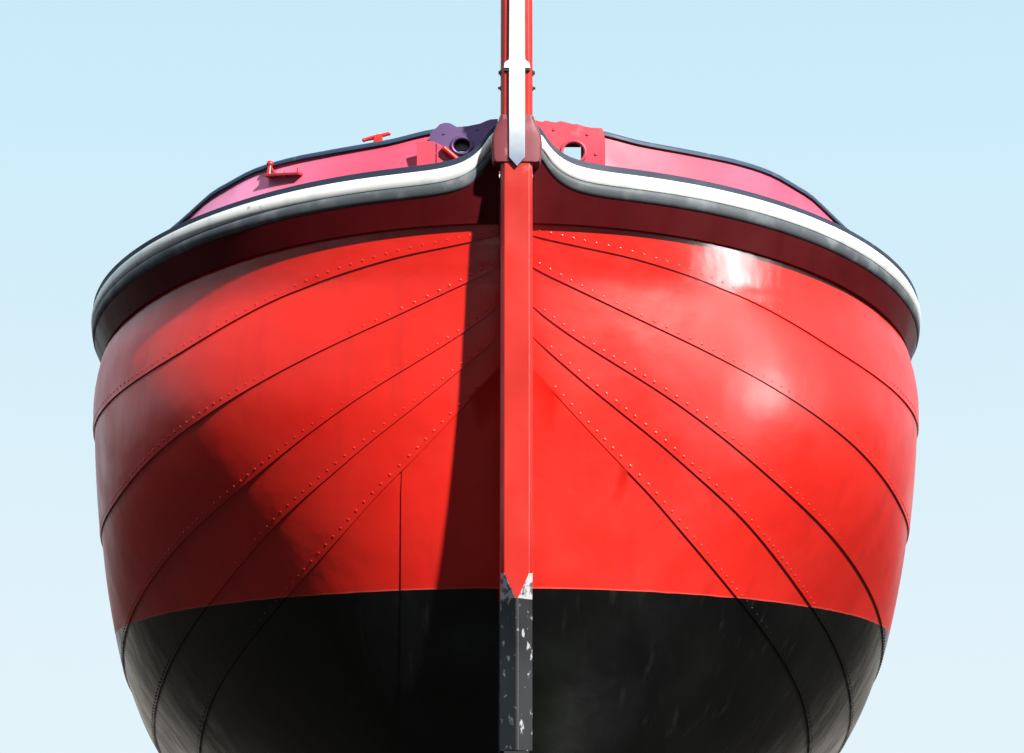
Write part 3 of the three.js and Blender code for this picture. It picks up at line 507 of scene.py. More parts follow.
def colour(r, g, b):
    return (r, g, b, 1.0)


def new_group(name, inputs, outputs):
    """A node group with named values in and out."""
    tree = bpy.data.node_groups.new(name, "ShaderNodeTree")
    for label, value in inputs.items():
        socket = tree.interface.new_socket(label, in_out="INPUT", socket_type="NodeSocketFloat")
        socket.default_value = value
    for label in outputs:
        tree.interface.new_socket(label, in_out="OUTPUT", socket_type="NodeSocketFloat")
    return tree, tree.nodes.new("NodeGroupInput").outputs, tree.nodes.new("NodeGroupOutput").inputs


def make_patches():
    """Irregular patches: the noise between Low and High becomes a mask."""
    tree, given, out = new_group("patches", {"Scale": 3, "Low": 0.5, "High": 0.7}, ["Mask"])
    tree.links.new(ramped(tree, noise_at(tree, given["Scale"], 5), given["Low"], given["High"]), out["Mask"])
    return tree


def make_runs():
    """Dirt and water runs, drawn out down the boat's side."""
    tree, given, out = new_group("runs", {"Scale": 14, "Low": 0.5, "High": 0.75}, ["Mask"])
    noisy = noise_at(tree, given["Scale"], 4, (1, 1, 0.06))
    tree.links.new(ramped(tree, noisy, given["Low"], given["High"]), out["Mask"])
    return tree


def make_unevenness():
    """Beaten plate under brushed paint: dents, waves and brush marks, in metres."""
    given_values = {"Dents": 0.004, "Waves": 0.0008, "Peel": 0.00006}
    tree, given, out = new_group("unevenness", given_values, ["Height"])
    total = maths(tree, "MULTIPLY", noise_at(tree, 2.4, 2), given["Dents"])
    waves = maths(tree, "MULTIPLY", noise_at(tree, 11, 2), given["Waves"])
    peel = maths(tree, "MULTIPLY", noise_at(tree, 160, 2), given["Peel"])
    total = maths(tree, "ADD", maths(tree, "ADD", total, waves), peel)
    tree.links.new(total, out["Height"])
    return tree


PATCHES = make_patches()
RUNS = make_runs()
UNEVENNESS = make_unevenness()


def grouped(tree, group, output, **values):
    made = node(tree, "ShaderNodeGroup", node_tree=group)
    for label, value in values.items():
        made.inputs[label].default_value = value
    return made.outputs[output]


def patches(tree, scale, low, high):
    return grouped(tree, PATCHES, "Mask", Scale=scale, Low=low, High=high)


def runs(tree, scale, low, high):
    return grouped(tree, RUNS, "Mask", Scale=scale, Low=low, High=high)


def uneven(tree, dents, waves, peel):
    return grouped(tree, UNEVENNESS, "Height", Dents=dents, Waves=waves, Peel=peel)


def mottled(tree, spread, one, other):
    """Two colours in patches."""
    return blended(tree, patches(tree, *spread), colour(*one), colour(*other))


def stained(tree, tone, mask, strength, shade):
    """A colour with another laid thinly over it where a mask shows."""
    return blended(tree, maths(tree, "MULTIPLY", mask, strength), tone, colour(*shade))


def dimmed(base, share):
    return [part * share for part in base]


# Nearly all of a noise lies between these
NOISE_SPREAD = (0.3, 0.7)


def gloss_at(tree, scale, detail, low, high):
    """A roughness that wanders between two values."""
    return ramped(tree, noise_at(tree, scale, detail), *NOISE_SPREAD, low, high)


def start_finish(name, metallic=0.0, coat=0.0, specular=0.5):
    finish = bpy.data.materials.new(name)
    finish.use_nodes = True
    shader = finish.node_tree.nodes["Principled BSDF"]
    shader.inputs["Metallic"].default_value = metallic
    shader.inputs["Coat Weight"].default_value = coat
    shader.inputs["Specular IOR Level"].default_value = specular
    return finish, finish.node_tree, shader.inputs


def feed(tree, shader, base, rough, height):
    tree.links.new(base, shader["Base Color"])
    tree.links.new(rough, shader["Roughness"])
    bumped = node(tree, "ShaderNodeBump", {"Height": height, "Distance": 1.0, "Strength": 1.0})
    tree.links.new(bumped.outputs[0], shader["Normal"])


# The bulwark's red turns to pink behind the bow and back again further aft: a painted reflection of the sky
SKY_SHEEN_IN = (-5.66, -5.1)
SKY_SHEEN_OUT = (-2.4, -3.6)


def painted(name, base, worn, rough=(0.28, 0.42), wear=(6, 0.62, 0.75), dirt=0.25, metallic=0.0, specular=0.5,
            aft=None):
    """Brushed gloss paint with patches worn to another colour and dirt that has run down; an aft colour adds
    a painted sky reflection behind the bow.
    """
    finish, tree, shader = start_finish(name, metallic=metallic, specular=specular)
    fresh = colour(*base)
    # Painted sky reflection: behind the bow the colour turns towards the aft colour
    if aft:
        y = coordinate(tree, "Y")
        sky_sheen = maths(tree, "MULTIPLY", ramped(tree, y, *SKY_SHEEN_IN), ramped(tree, y, *SKY_SHEEN_OUT))
        fresh = blended(tree, sky_sheen, fresh, colour(*aft))
    tone = blended(tree, patches(tree, 1.7, 0.35, 0.75), fresh, colour(*dimmed(base, 0.8)))
    tone = blended(tree, patches(tree, *wear), tone, colour(*worn))
    tone = stained(tree, tone, runs(tree, 12, 0.5, 0.8), dirt, dimmed(base, 0.25))
    feed(tree, shader, tone, gloss_at(tree, 5, 3, *rough), uneven(tree, 0.001, 0.0004, 0.00005))
    return finish


# The strake under the shelf has kept more of its gloss
GLOSSY_ABOVE = 2.26
GLOSSY_RUN = 0.16
# The paint line wanders this much, and its edge and the lip along it lie this far above it
LINE_WANDER = 0.006
LINE_EDGE = (0.0022, 0.0034)
LINE_LIP = (0.011, 0.006)


def make_hull_paint():
    """Gloss red down to the paint line, black below it, on beaten plates."""
    finish, tree, shader = start_finish("hull_red_over_black")
    z = coordinate(tree, "Z")
    level = maths(tree, "ADD", z, maths(tree, "MULTIPLY", noise_at(tree, 9, 3), LINE_WANDER))
    above = ramped(tree, level, PAINT_LINE_Z + LINE_EDGE[0], PAINT_LINE_Z + LINE_EDGE[1])
    below_lip = ramped(tree, level, PAINT_LINE_Z + LINE_LIP[0], PAINT_LINE_Z + LINE_LIP[1])
    lip = maths(tree, "MULTIPLY", above, below_lip)
    red = mottled(tree, (1.3, 0.35, 0.7), (0.68, 0.017, 0.009), (0.56, 0.012, 0.007))
    red = stained(tree, red, runs(tree, 9, 0.52, 0.8), 0.4, (0.36, 0.008, 0.008))
    red = stained(tree, red, patches(tree, 5, 0.66, 0.8), 0.35, (0.62, 0.06, 0.045))
    # Patches of the black are a little greener: in part the paint's own uneven tone, in part a painted
    # greenish reflection
    black = mottled(tree, (2.2, 0.4, 0.75), (0.0018, 0.002, 0.0022), (0.004, 0.005, 0.0035))
    black = stained(tree, black, runs(tree, 16, 0.58, 0.8), 0.5, (0.018, 0.02, 0.016))
    base = stained(tree, blended(tree, above, black, red), lip, 0.25, (0.7, 0.2, 0.16))
    duller = ramped(tree, z, GLOSSY_ABOVE + GLOSSY_RUN, GLOSSY_ABOVE, 0.0, 0.12)
    duller = maths(tree, "MULTIPLY", above, duller)
    gloss = maths(tree, "ADD", maths(tree, "ADD", 0.2, duller), gloss_at(tree, 3.2, 4, 0.0, 0.1))
    feed(tree, shader, base, gloss, uneven(tree, 0.009, 0.0016, 0.00007))
    return finish


def make_non_skid():
    finish, tree, shader = start_finish("deck_non_skid", specular=0.12)
    tone = mottled(tree, (2, 0.35, 0.7), (0.16, 0.19, 0.18), (0.11, 0.13, 0.125))
    tone = stained(tree, tone, patches(tree, 9, 0.6, 0.75), 0.5, (0.26, 0.27, 0.25))
    grit = maths(tree, "MULTIPLY", noise_at(tree, 320, 2), 0.0011)
    feed(tree, shader, tone, gloss_at(tree, 4, 3, 0.7, 0.9), grit)
    return finish


def make_wood():
    finish, tree, shader = start_finish("varnished_timber", coat=0.5)
    grain = noise_at(tree, 14, 6, (9, 0.55, 9))
    light, dark = colour(0.34, 0.15, 0.055), colour(0.21, 0.075, 0.025)
    tone = blended(tree, ramped(tree, grain, 0.35, 0.68), dark, light)
    tone = stained(tree, tone, patches(tree, 3, 0.5, 0.8), 0.5, (0.12, 0.045, 0.018))
    gloss = ramped(tree, grain, *NOISE_SPREAD, 0.3, 0.5)
    feed(tree, shader, tone, gloss, maths(tree, "MULTIPLY", grain, 0.0008))
    return finish


def make_glass():
    finish, tree, shader = start_finish("window_glass")
    shader["Transmission Weight"].default_value = 0.85
    shader["IOR"].default_value = 1.45
    tone = mottled(tree, (3, 0.4, 0.8), (0.72, 0.8, 0.8), (0.6, 0.7, 0.7))
    gloss = ramped(tree, noise_at(tree, 7, 3), 0.4, 0.75, 0.03, 0.09)
    feed(tree, shader, tone, gloss, maths(tree, "MULTIPLY", noise_at(tree, 3, 1), 0.0006))
    return finish


def metal(name, bright, dull, rough=(0.3, 0.5)):
    """Dulled metal with dark runs."""
    finish, tree, shader = start_finish(name, metallic=1.0)
    tone = mottled(tree, (9, 0.35, 0.7), bright, dull)
    tone = stained(tree, tone, runs(tree, 20, 0.55, 0.8), 0.5, dimmed(dull, 0.4))
    feed(tree, shader, tone, gloss_at(tree, 9, 4, *rough), uneven(tree, 0.0008, 0.0004, 0.00008))
    return finish


# The strap is blue-grey below the first level and white above the second
STRAP_BLUE_TO_WHITE = (2.86, 3.14)


def make_strap_white():
    """White on the stem's strap, turning blue-grey towards its tip."""
    finish, tree, shader = start_finish("strap_white")
    z = coordinate(tree, "Z")
    wander = maths(tree, "MULTIPLY", noise_at(tree, 11, 3), 0.12)
    whiteness = ramped(tree, maths(tree, "ADD", z, wander), *STRAP_BLUE_TO_WHITE)
    tone = blended(tree, whiteness, colour(0.2, 0.25, 0.33), colour(0.66, 0.69, 0.7))
    tone = blended(tree, patches(tree, 24, 0.66, 0.76), tone, colour(0.25, 0.24, 0.25))
    feed(tree, shader, tone, gloss_at(tree, 6, 3, 0.35, 0.5), uneven(tree, 0.001, 0.0004, 0.00006))
    return finish


HULL_PAINT = make_hull_paint()
STRAP_WHITE = make_strap_white()
NON_SKID = make_non_skid()
TIMBER = make_wood()
GLASS = make_glass()
BRONZE = metal("screw_bronze", (0.62, 0.4, 0.17), (0.4, 0.24, 0.1))
ZINC = metal("dull_zinc", (0.42, 0.44, 0.45), (0.28, 0.3, 0.31), rough=(0.42, 0.6))
RED = painted("gloss_red", (0.6, 0.018, 0.014), (0.62, 0.1, 0.08), wear=(7, 0.68, 0.8))
STEM_RED = painted("stem_red", (0.5, 0.016, 0.008), (0.66, 0.2, 0.17), wear=(9, 0.68, 0.8))
GUSSET_RED = painted("gusset_red", (0.68, 0.06, 0.1), (0.6, 0.18, 0.24), wear=(6, 0.6, 0.8))
FITTING_RED = painted("fitting_red", (0.4, 0.02, 0.025), (0.5, 0.1, 0.1), wear=(14, 0.6, 0.75))
# The shelf under the fenders is painted a very dark red: painted shade, as though the fenders' shadow lay
# over it on both sides
SHELF_PAINTED_SHADE = painted(
    "shelf_painted_shade", (0.085, 0.004, 0.006), (0.11, 0.009, 0.01), rough=(0.35, 0.5), wear=(7, 0.68, 0.8),
    specular=0.15,
)
ROOF_RED = painted(
    "roof_red", (0.42, 0.02, 0.017), (0.5, 0.09, 0.07), rough=(0.6, 0.7), wear=(3, 0.6, 0.8), dirt=0.1,
    specular=0.18,
)
# The starboard bulwark is painted lighter and pinker than the port one: painted sky light on the side the key
# lamp hardly reaches, with the painted sky reflection behind the bow
BULWARK_PAINTED_SKY_LIGHT = painted(
    "bulwark_painted_sky_light", (0.7, 0.08, 0.15), (0.7, 0.25, 0.4), rough=(0.42, 0.58), wear=(3, 0.55, 0.85), dirt=0.1,
    aft=(0.85, 0.34, 0.58),
)
# The port bulwark's red, with the painted sky reflection behind the bow
BULWARK_RED = painted(
    "bulwark_red", (0.6, 0.06, 0.115), (0.6, 0.19, 0.29), rough=(0.42, 0.58), wear=(3, 0.55, 0.85), dirt=0.1,
    aft=(0.66, 0.13, 0.24),
)
BOARD_RED = painted(
    "hawse_board_red", (0.5, 0.042, 0.075), (0.55, 0.15, 0.18), rough=(0.35, 0.5), wear=(9, 0.6, 0.8)
)
# The starboard board, its lip and its bolts are painted a dull bluish purple in place of the red: painted
# shade, the red board as it looks in shade under a blue sky
BOARD_PAINTED_SHADE = painted(
    "hawse_board_painted_shade", (0.15, 0.085, 0.2), (0.2, 0.11, 0.2), rough=(0.4, 0.5), wear=(9, 0.6, 0.8),
    metallic=0.7,
)
CASING_RED = painted(
    "casing_red", (0.2, 0.03, 0.04), (0.42, 0.13, 0.13), rough=(0.4, 0.55), wear=(14, 0.6, 0.78)
)
STEM_BLACK = painted(
    "stem_black", (0.012, 0.012, 0.013), (0.4, 0.41, 0.42), rough=(0.35, 0.5), wear=(26, 0.6, 0.7)
)
FENDER_WHITE_PAINT = painted(
    "fender_white", (0.85, 0.88, 0.86), (0.4, 0.42, 0.4), wear=(16, 0.66, 0.74), dirt=0.3
)
FENDER_BLACK_PAINT = painted(
    "fender_black", (0.085, 0.1, 0.112), (0.2, 0.22, 0.24), rough=(0.5, 0.65), wear=(9, 0.45, 0.8), dirt=0.2,
    specular=0.35,
)
CAPPING_NAVY = painted(
    "capping_navy", (0.012, 0.02, 0.045), (0.06, 0.08, 0.12), rough=(0.6, 0.75), wear=(11, 0.62, 0.75)
)
RAIL_NAVY = painted(
    "rail_navy", (0.022, 0.045, 0.09), (0.1, 0.13, 0.19), rough=(0.5, 0.65), wear=(11, 0.62, 0.75)
)
FITTING_BLACK = painted(
    "fitting_black", (0.012, 0.013, 0.014), (0.1, 0.09, 0.08), rough=(0.3, 0.5), wear=(22, 0.66, 0.75)
)
CREAM = painted("cabin_cream", (0.6, 0.57, 0.46), (0.42, 0.38, 0.28), wear=(8, 0.68, 0.8))
WORN_METAL = painted(
    "worn_white_metal", (0.5, 0.52, 0.53), (0.08, 0.08, 0.09), rough=(0.4, 0.6), wear=(40, 0.5, 0.62)
)
ENGINE_GREEN = painted(
    "engine_green", (0.05, 0.16, 0.11), (0.03, 0.03, 0.03), rough=(0.35, 0.55), wear=(14, 0.6, 0.75)
)

# Camera, at the photograph's place: below the bow and a little to its starboard side
CAMERA_AT = (-0.266, STEM_Y - 12.0, 0.002)
CAMERA_UP = radians(9.21)
CAMERA_TURN = radians(1.192)
LENS = 104.26
SENSOR = 36
FARTHEST = 400


def make_camera():
    view = bpy.data.cameras.new("view")
    view.lens = LENS
    view.sensor_width = SENSOR
    view.clip_end = FARTHEST
    camera = bpy.data.objects.new("view", view)
    camera.location = CAMERA_AT
    camera.rotation_euler = (pi / 2 + CAMERA_UP, 0, -CAMERA_TURN)
    bpy.context.collection.objects.link(camera)
    bpy.context.scene.camera = camera
    bpy.context.scene.view_settings.view_transform = "Standard"


def add_lamp(name, azimuth, elevation, strength, angle, tone=(1, 1, 1), diffuse=True, glossy=True):
    """A distant lamp: azimuth is from the bow's direction towards port."""
    light = bpy.data.lights.new(name, "SUN")
    light.energy = strength
    light.angle = radians(angle)
    light.color = tone
    lamp = bpy.data.objects.new(name, light)
    lamp.visible_diffuse = diffuse
    lamp.visible_glossy = glossy
    level = cos(radians(elevation))
    towards = Vector((sin(radians(azimuth)) * level, -cos(radians(azimuth)) * level, sin(radians(elevation))))
    lamp.rotation_euler = towards.to_track_quat("Z", "Y").to_euler()
    bpy.context.collection.objects.link(lamp)


SKY = (0.56, 0.82, 0.95)
HORIZON = (0.78, 0.9, 0.96)
UNDER = (0.045, 0.042, 0.038)
SHADE = (0.066, 0.07, 0.08)
FAR_GROUND = (0.62, 0.58, 0.52)
# Rise of a direction over which the horizon turns to sky and mirrored ground to mirrored sky
SKY_RISE = (0.0, 0.35)
GROUND_EDGE = (-0.02, 0.06)
# How far aft a direction points where mirrored ground turns bright
GROUND_FAR = (0.87, 0.98)
FLOOR_HALF = 90


def make_world():
    """Pale sky seen and mirrored, and a dimmer even light in the shade."""
    world = bpy.data.worlds.new("studio")
    world.use_nodes = True
    bpy.context.scene.world = world
    tree = world.node_tree
    directions = node(tree, "ShaderNodeTexCoord").outputs["Generated"]
    _, along, up = node(tree, "ShaderNodeSeparateXYZ", {0: directions}).outputs
    sky = blended(tree, ramped(tree, up, *SKY_RISE), colour(*HORIZON), colour(*SKY))
    ground = blended(tree, ramped(tree, along, *GROUND_FAR), colour(*UNDER), colour(*FAR_GROUND))
    mirrored = blended(tree, ramped(tree, up, *GROUND_EDGE), ground, sky)
    rays = node(tree, "ShaderNodeLightPath").outputs
    seen = node(tree, "ShaderNodeBackground", {"Color": sky}).outputs[0]
    glossy = node(tree, "ShaderNodeBackground", {"Color": mirrored}).outputs[0]
    dim = node(tree, "ShaderNodeBackground", {"Color": colour(*SHADE)}).outputs[0]
    lit = node(tree, "ShaderNodeMixShader", {0: rays["Is Glossy Ray"], 1: dim, 2: glossy}).outputs[0]
    shown = node(tree, "ShaderNodeMixShader", {0: rays["Is Camera Ray"], 1: lit, 2: seen}).outputs[0]
    tree.links.new(shown, tree.nodes["World Output"].inputs["Surface"])


def make_floor():
    bm = bmesh.new()
    bmesh.ops.create_grid(bm, x_segments=1, y_segments=1, size=FLOOR_HALF)
    mesh = bpy.data.meshes.new("floor")
    bm.to_mesh(mesh)
    bm.free()
    finish, tree, shader = start_finish("pale_floor", specular=0.0)
    tone = mottled(tree, (0.5, 0.3, 0.8), (0.34, 0.34, 0.33), (0.31, 0.31, 0.3))
    feed(tree, shader, tone, gloss_at(tree, 2, 2, 0.8, 0.9), noise_at(tree, 0.01, 0))
    mesh.materials.append(finish)
    floor = bpy.data.objects.new("floor", mesh)
    bpy.context.collection.objects.link(floor)
    floor.visible_diffuse = False
    floor.visible_glossy = False
    floor.visible_shadow = False


make_camera()
make_world()
make_floor()
add_lamp("key", 33, 34, 8.7, 2.0, (1.0, 0.97, 0.92))
add_lamp("fill", 170, 35, 1.6, 40)
add_lamp("softbox_0", 72.8, 22, 0.5, 12, diffuse=False)
add_lamp("softbox_1", 69.3, 2, 1.6, 12, diffuse=False)
add_lamp("top_light", -80, 62, 1.5, 30, (0.82, 0.9, 1.0), glossy=False)

# Plating: each strake lies flush at its top and stands proud at its lower edge
SEAM_STATIONS = (0, 0.3, 1, 2.5, 4.5, 7, 10, 14)
SEAM_LEVELS = (
    (2.07, 1.948, 1.74, 1.448, 1.132, 0.772, 0.37, 0.2),
    (2.2, 2.104, 1.92, 1.66, 1.396, 1.076, 0.74, 0.42),
    (2.33, 2.248, 2.1, 1.868, 1.62, 1.384, 1.132, 0.825),
    (2.46, 2.42, 2.344, 2.172, 1.976, 1.784, 1.6, 1.496),
    (2.57, 2.548, 2.516, 2.46, 2.356, 2.156, 2.04, 1.97),
)
LAP = 0.0075
STRAKE_ROWS = (16, 10, 9, 9, 9, 9)
CROWN_ROWS = 7
BUTT_X = 0.47
BUTT_THICK = 0.0055
BUTT_BACK = -4.3
BUTT_STEP = 0.0006
BUTT_FADE = (0.07, 0.03)
# First station, step and count of the plating's columns at the bow, amidships and at the stern
PLATING_COLUMNS = ((0, 0.14, 100), (BOW_STEPS, 0.25, 20), (BOW_STEPS + MID_STEPS, 0.2, 66))
# Where laps and beaten places begin and over what run, from the stem, the stern and the keel
LAP_FADES = ((0.1, 0.3), (0.2, 0.5), (0.05, 0.1))
BEATEN_FADES = ((0.2, 1), (0.2, 1), (0.1, 0.2))
BEATEN_DEEP = 0.0022
BEATEN_SCALE = 1.9
# Keeps the two sides' beaten places apart
BEATEN_APART = 9
# Marks the deck crown's rows, as the strakes are marked by number
CROWN_MARK = 9
# The steps that give the direction out of the plating, and how near its edges it is read
OUT_STEPS = (0.04, 0.01)
OUT_EDGES = (0.05, 0.02)
WELL = ((-1.1, -1.5, 1.78), (1.1, 3.3, 4))
SCREW_APERTURE = ((-0.6, 4.8, 0.23), (0.6, 5.48, 1.02))


def seam_girths(station):
    """The girths of the seams, from keel to deck edge, at a station."""
    if station <= BOW_STEPS:
        matched = station
    else:
        matched = min(BOW_STEPS, (STATIONS - station) * BOW_STEPS / STERN_STEPS)
    edge = girth_of(sheer_point(station).z - DECK_DROP)
    levels = [girth_of(through(SEAM_STATIONS, row, matched)) for row in SEAM_LEVELS]
    return [0] + levels + [edge]


def plate_out(station, g):
    """Direction out of the plating."""
    u = min(STATIONS - OUT_EDGES[0], max(OUT_EDGES[0], station))
    v = max(OUT_EDGES[1], g)
    du, dv = OUT_STEPS
    along = shell_point(u + du, v) - shell_point(u - du, v)
    up = shell_point(u, v + dv) - shell_point(u, v - dv)
    return along.cross(up).normalized()


def clear_of_edges(station, g, fades):
    """1 on the open plating and down to 0 at the stem, the stern and the keel."""
    (stem, stem_run), (stern, stern_run), (keel, keel_run) = fades
    at_stern = held((STATIONS - stern - station) / stern_run)
    return held((station - stem) / stem_run) * at_stern * held((g - keel) / keel_run)


def plating_rows():
    """Strake number and place in it, bottom to top, with each seam's row doubled."""
    rows = []
    for strake, count in enumerate(STRAKE_ROWS):
        rows += [(strake, i / count) for i in range(count + 1)]
    return rows


def plating_side(side):
    line = [first + i * step for first, step, count in PLATING_COLUMNS for i in range(count)]
    rows = plating_rows()
    seams = [seam_girths(station) for station in line]

    def point(i, j):
        u = line[i]
        if j >= len(rows):
            t = (j - len(rows) + 1) / (CROWN_ROWS - 1)
            edge = shell_point(u, seams[i][-1])
            crown = CAMBER * (edge.x / SHELL_HALF) ** 2
            return Vector((side * edge.x * (1 - t), edge.y, edge.z + crown * t))
        strake, t = rows[j]
        g = mix(seams[i][strake], seams[i][strake + 1], t)
        p = shell_point(u, g)
        proud = LAP * (1 - t) if strake else 0
        proud *= clear_of_edges(u, g, LAP_FADES)
        place = Vector((side * BEATEN_APART + p.x * BEATEN_SCALE, p.y * BEATEN_SCALE, p.z * BEATEN_SCALE))
        beaten = noise.noise(place) * BEATEN_DEEP
        beaten *= clear_of_edges(u, g, BEATEN_FADES)
        p += plate_out(u, g) * (proud + beaten)
        return Vector((side * p.x, p.y, p.z))

    bm = sheet(len(line), len(rows) + CROWN_ROWS - 1, point)
    strakes = bm.verts.layers.float.new("strake")
    for index, vert in enumerate(bm.verts):
        row = index // len(line)
        vert[strakes] = rows[row][0] + 1 if row < len(rows) else CROWN_MARK
    raise_stem_plate(bm, side, strakes)
    return bm


def raise_stem_plate(bm, side, strakes):
    """The lowest plate at the stem stands proud of the next one, with its butt upright."""
    for x in (BUTT_X, BUTT_X + BUTT_STEP):
        fore = [face for face in bm.faces if face.calc_center_median().y < BUTT_BACK]
        faces = [face for face in fore if all(vert[strakes] == 1 for vert in face.verts)]
        near = {part for face in faces for part in (face, *face.edges, *face.verts)}
        bmesh.ops.bisect_plane(bm, geom=list(near), plane_co=(side * x, 0, 0), plane_no=(1, 0, 0), dist=1e-6)
    bm.normal_update()
    for vert in bm.verts:
        within = vert.co.y < BUTT_BACK and abs(vert.co.x) < BUTT_X + BUTT_STEP / 2
        if within and abs(vert[strakes] - 1) < 0.01:
            out = vert.normal if vert.normal.y < 0 else -vert.normal
            vert.co += out * BUTT_THICK * held((abs(vert.co.x) - BUTT_FADE[0]) / BUTT_FADE[1])


def make_plating():
    bm = plating_side(1)
    add_copy(bm, plating_side(-1))
    bmesh.ops.remove_doubles(bm, verts=bm.verts, dist=2 * MERGE)
    bmesh.ops.recalc_face_normals(bm, faces=bm.faces)
    plating = make_piece("plating", bm, [HULL_PAINT, CREAM], "hull_paint", stands_for=["hull"], crease=25)
    cutter = bmesh.new()
    add_block(cutter, *WELL, finish=1)
    add_block(cutter, *SCREW_APERTURE)
    return carve(plating, cutter)


SIDES = (("port", 1), ("starboard", -1))
MOULDING_LINE = line_between(0.07, 0.049)
BULWARK_LINE = line_between(0.346, 0.09)
MOULDING_IN = -0.006
CAPPING_FOOT = 0.0035
FENDER_FOOT = -FENDER_WHITE - FENDER_BLACK
SHELF_FOOT = FENDER_FOOT - SHELF_DROP
SHELF_TOP = FENDER_FOOT - 0.0004
# Outlines of the fender's halves and of the shelf: out from the plating and up from the sheer
UPPER_OUTLINE = (
    (MOULDING_IN, -0.056), (0.056, -0.056), (0.0625, -0.047), (0.0645, -0.03), (0.063, -0.012),
    (0.058, -0.001), (0.049, 0.003), (MOULDING_IN, 0.003),
)
LOWER_OUTLINE = (
    (MOULDING_IN, FENDER_FOOT), (0.031, FENDER_FOOT), (0.046, FENDER_FOOT + 0.006),
    (0.055, FENDER_FOOT + 0.016), (0.059, -0.075), (0.058, -0.064), (0.052, -0.0565), (MOULDING_IN, -0.0565),
)
# The foot of the shelf doesn't rise with the curl at the stem
SHELF_OUTLINE = (
    (MOULDING_IN, SHELF_FOOT, 0), (0.004, SHELF_FOOT, 0), (SHELF_OUT, SHELF_TOP), (MOULDING_IN, SHELF_TOP),
)


def capping(station):
    out = through(CAPPING_STATIONS, CAPPING_OUT, station)
    return (MOULDING_IN, CAPPING_FOOT), (out, CAPPING_FOOT), (out, CAPPING_HIGH), (MOULDING_IN, CAPPING_HIGH)


def make_fenders():
    rows = (
        ("fender_white_", UPPER_OUTLINE, FENDER_WHITE_PAINT, "white_paint", "fender_upper_", 40, 0),
        ("fender_capping_", capping, CAPPING_NAVY, "navy_paint", "", CREASE, 0.005),
        ("fender_black_", LOWER_OUTLINE, FENDER_BLACK_PAINT, "black_paint", "fender_lower_", 40, 0),
        ("shelf_", SHELF_OUTLINE, SHELF_PAINTED_SHADE, "hull_paint", "fender_shelf_", CREASE, 0),
    )
    for name, side in SIDES:
        for piece, outline, finish, slot, solid, crease, bevel in rows:
            solids = [solid + name] if solid else []
            bm = moulding(side, outline, MOULDING_LINE)
            make_piece(piece + name, bm, [finish], slot, stands_for=solids, crease=crease, bevel=bevel)


def bulwark_at(station):
    """Height of the bulwark and how far its top leans in."""
    top = through(BULWARK_STATIONS, BULWARK_HEIGHTS, station)
    return top, BULWARK_IN - BULWARK_LEAN * top


def bulwark_plate(station):
    foot, (top, lean) = BULWARK_FOOT, bulwark_at(station)
    return (
        (BULWARK_IN, foot), (mix(BULWARK_IN, lean, 0.5), mix(foot, top, 0.5)), (lean, top),
        (lean - BULWARK_THICK, top), (BULWARK_IN - BULWARK_THICK, foot),
    )


def rail_cap(station):
    top, lean = bulwark_at(station)
    middle = lean - BULWARK_THICK / 2
    half = RAIL_WIDTH / 2
    return [(middle + out * half, top + RAIL_GAP + up * RAIL_HEIGHT) for out, up in RAIL_ROUND]


def make_bulwarks():
    for name, side in SIDES:
        # Starboard takes the lighter copy, with its painted sky light
        finish = BULWARK_RED if side > 0 else BULWARK_PAINTED_SKY_LIGHT
        plate = moulding(side, bulwark_plate, BULWARK_LINE)
        make_piece("bulwark_plate_" + name, plate, [finish], "red_paint", stands_for=["bulwark_" + name])
        rail, solids = moulding(side, rail_cap, BULWARK_LINE), ["rail_" + name]
        make_piece("rail_cap_" + name, rail, [RAIL_NAVY], "navy_paint", stands_for=solids, crease=50)


CHAMFER_TOP_Z = 1.128
CHAMFER_TIP_Z = 1.028
# Level, width of the bar's face and depth of its chamfer
BAR_LEVELS = (
    (0.42, 0.012, 0.075), (0.7, 0.012, 0.075), (CHAMFER_TIP_Z, 0.012, 0.075), (CHAMFER_TOP_Z, 0.102, 0.022),
    (1.5, 0.102, 0.022), (2.0, 0.102, 0.022), (2.5, 0.102, 0.022), (KNEE_Z, 0.102, 0.022),
    (3.1, 0.102, 0.022), (3.4, 0.1, 0.022), (3.7, 0.098, 0.022), (3.76, 0.07, 0.03),
)
BAR_WIDE = 0.13
HEAD_NIP = 0.014
BLACK_BELOW = PAINT_LINE_Z - 0.04


def make_stem():
    """The stem bar: flat-faced above the chamfer's stop near the paint line, sharp below it."""
    head = len(BAR_LEVELS) - 1

    def point(i, j):
        z, face, shoulder = BAR_LEVELS[i]
        nip = HEAD_NIP if i == head else 0
        front, back, half = bar_front(z) + nip, bar_back(z) - nip, BAR_WIDE / 2 - nip
        ring = (
            (-face / 2, front), (face / 2, front), (half, front + shoulder), (half, back),
            (-half, back), (-half, front + shoulder), (-face / 2, front),
        )
        return Vector((*ring[j], z))

    bm = sealed(sheet(len(BAR_LEVELS), 7, point))
    for face in bm.faces:
        centre = face.calc_center_median()
        sloped = abs(face.normal.x) > 0.2 and face.normal.y < -0.1
        if CHAMFER_TIP_Z < centre.z < CHAMFER_TOP_Z and sloped:
            face.material_index = 1
        elif centre.z < BLACK_BELOW:
            face.material_index = 2
    finishes = [STEM_RED, WORN_METAL, STEM_BLACK]
    make_piece("stem_bar", bm, finishes, "red_paint", stands_for=["stem"], bevel=0.004)


# Level and half-breadth of the casing that wraps the stem where the fenders end
CASING_ROWS = (
    (2.809, 0.086), (2.814, 0.096), (2.83, 0.101), (2.9, 0.103), (2.925, 0.1), (2.96, 0.086), (2.99, 0.074),
    (3.01, 0.069),
)
CASING_PROUD = 0.006
CASING_GAP = 0.0006
CASING_BACK = 0.004
CASING_FLAT = 0.06
# The casing comes down to the bar's face at this level, over this run
CASING_HEAD = (3.012, 0.03)
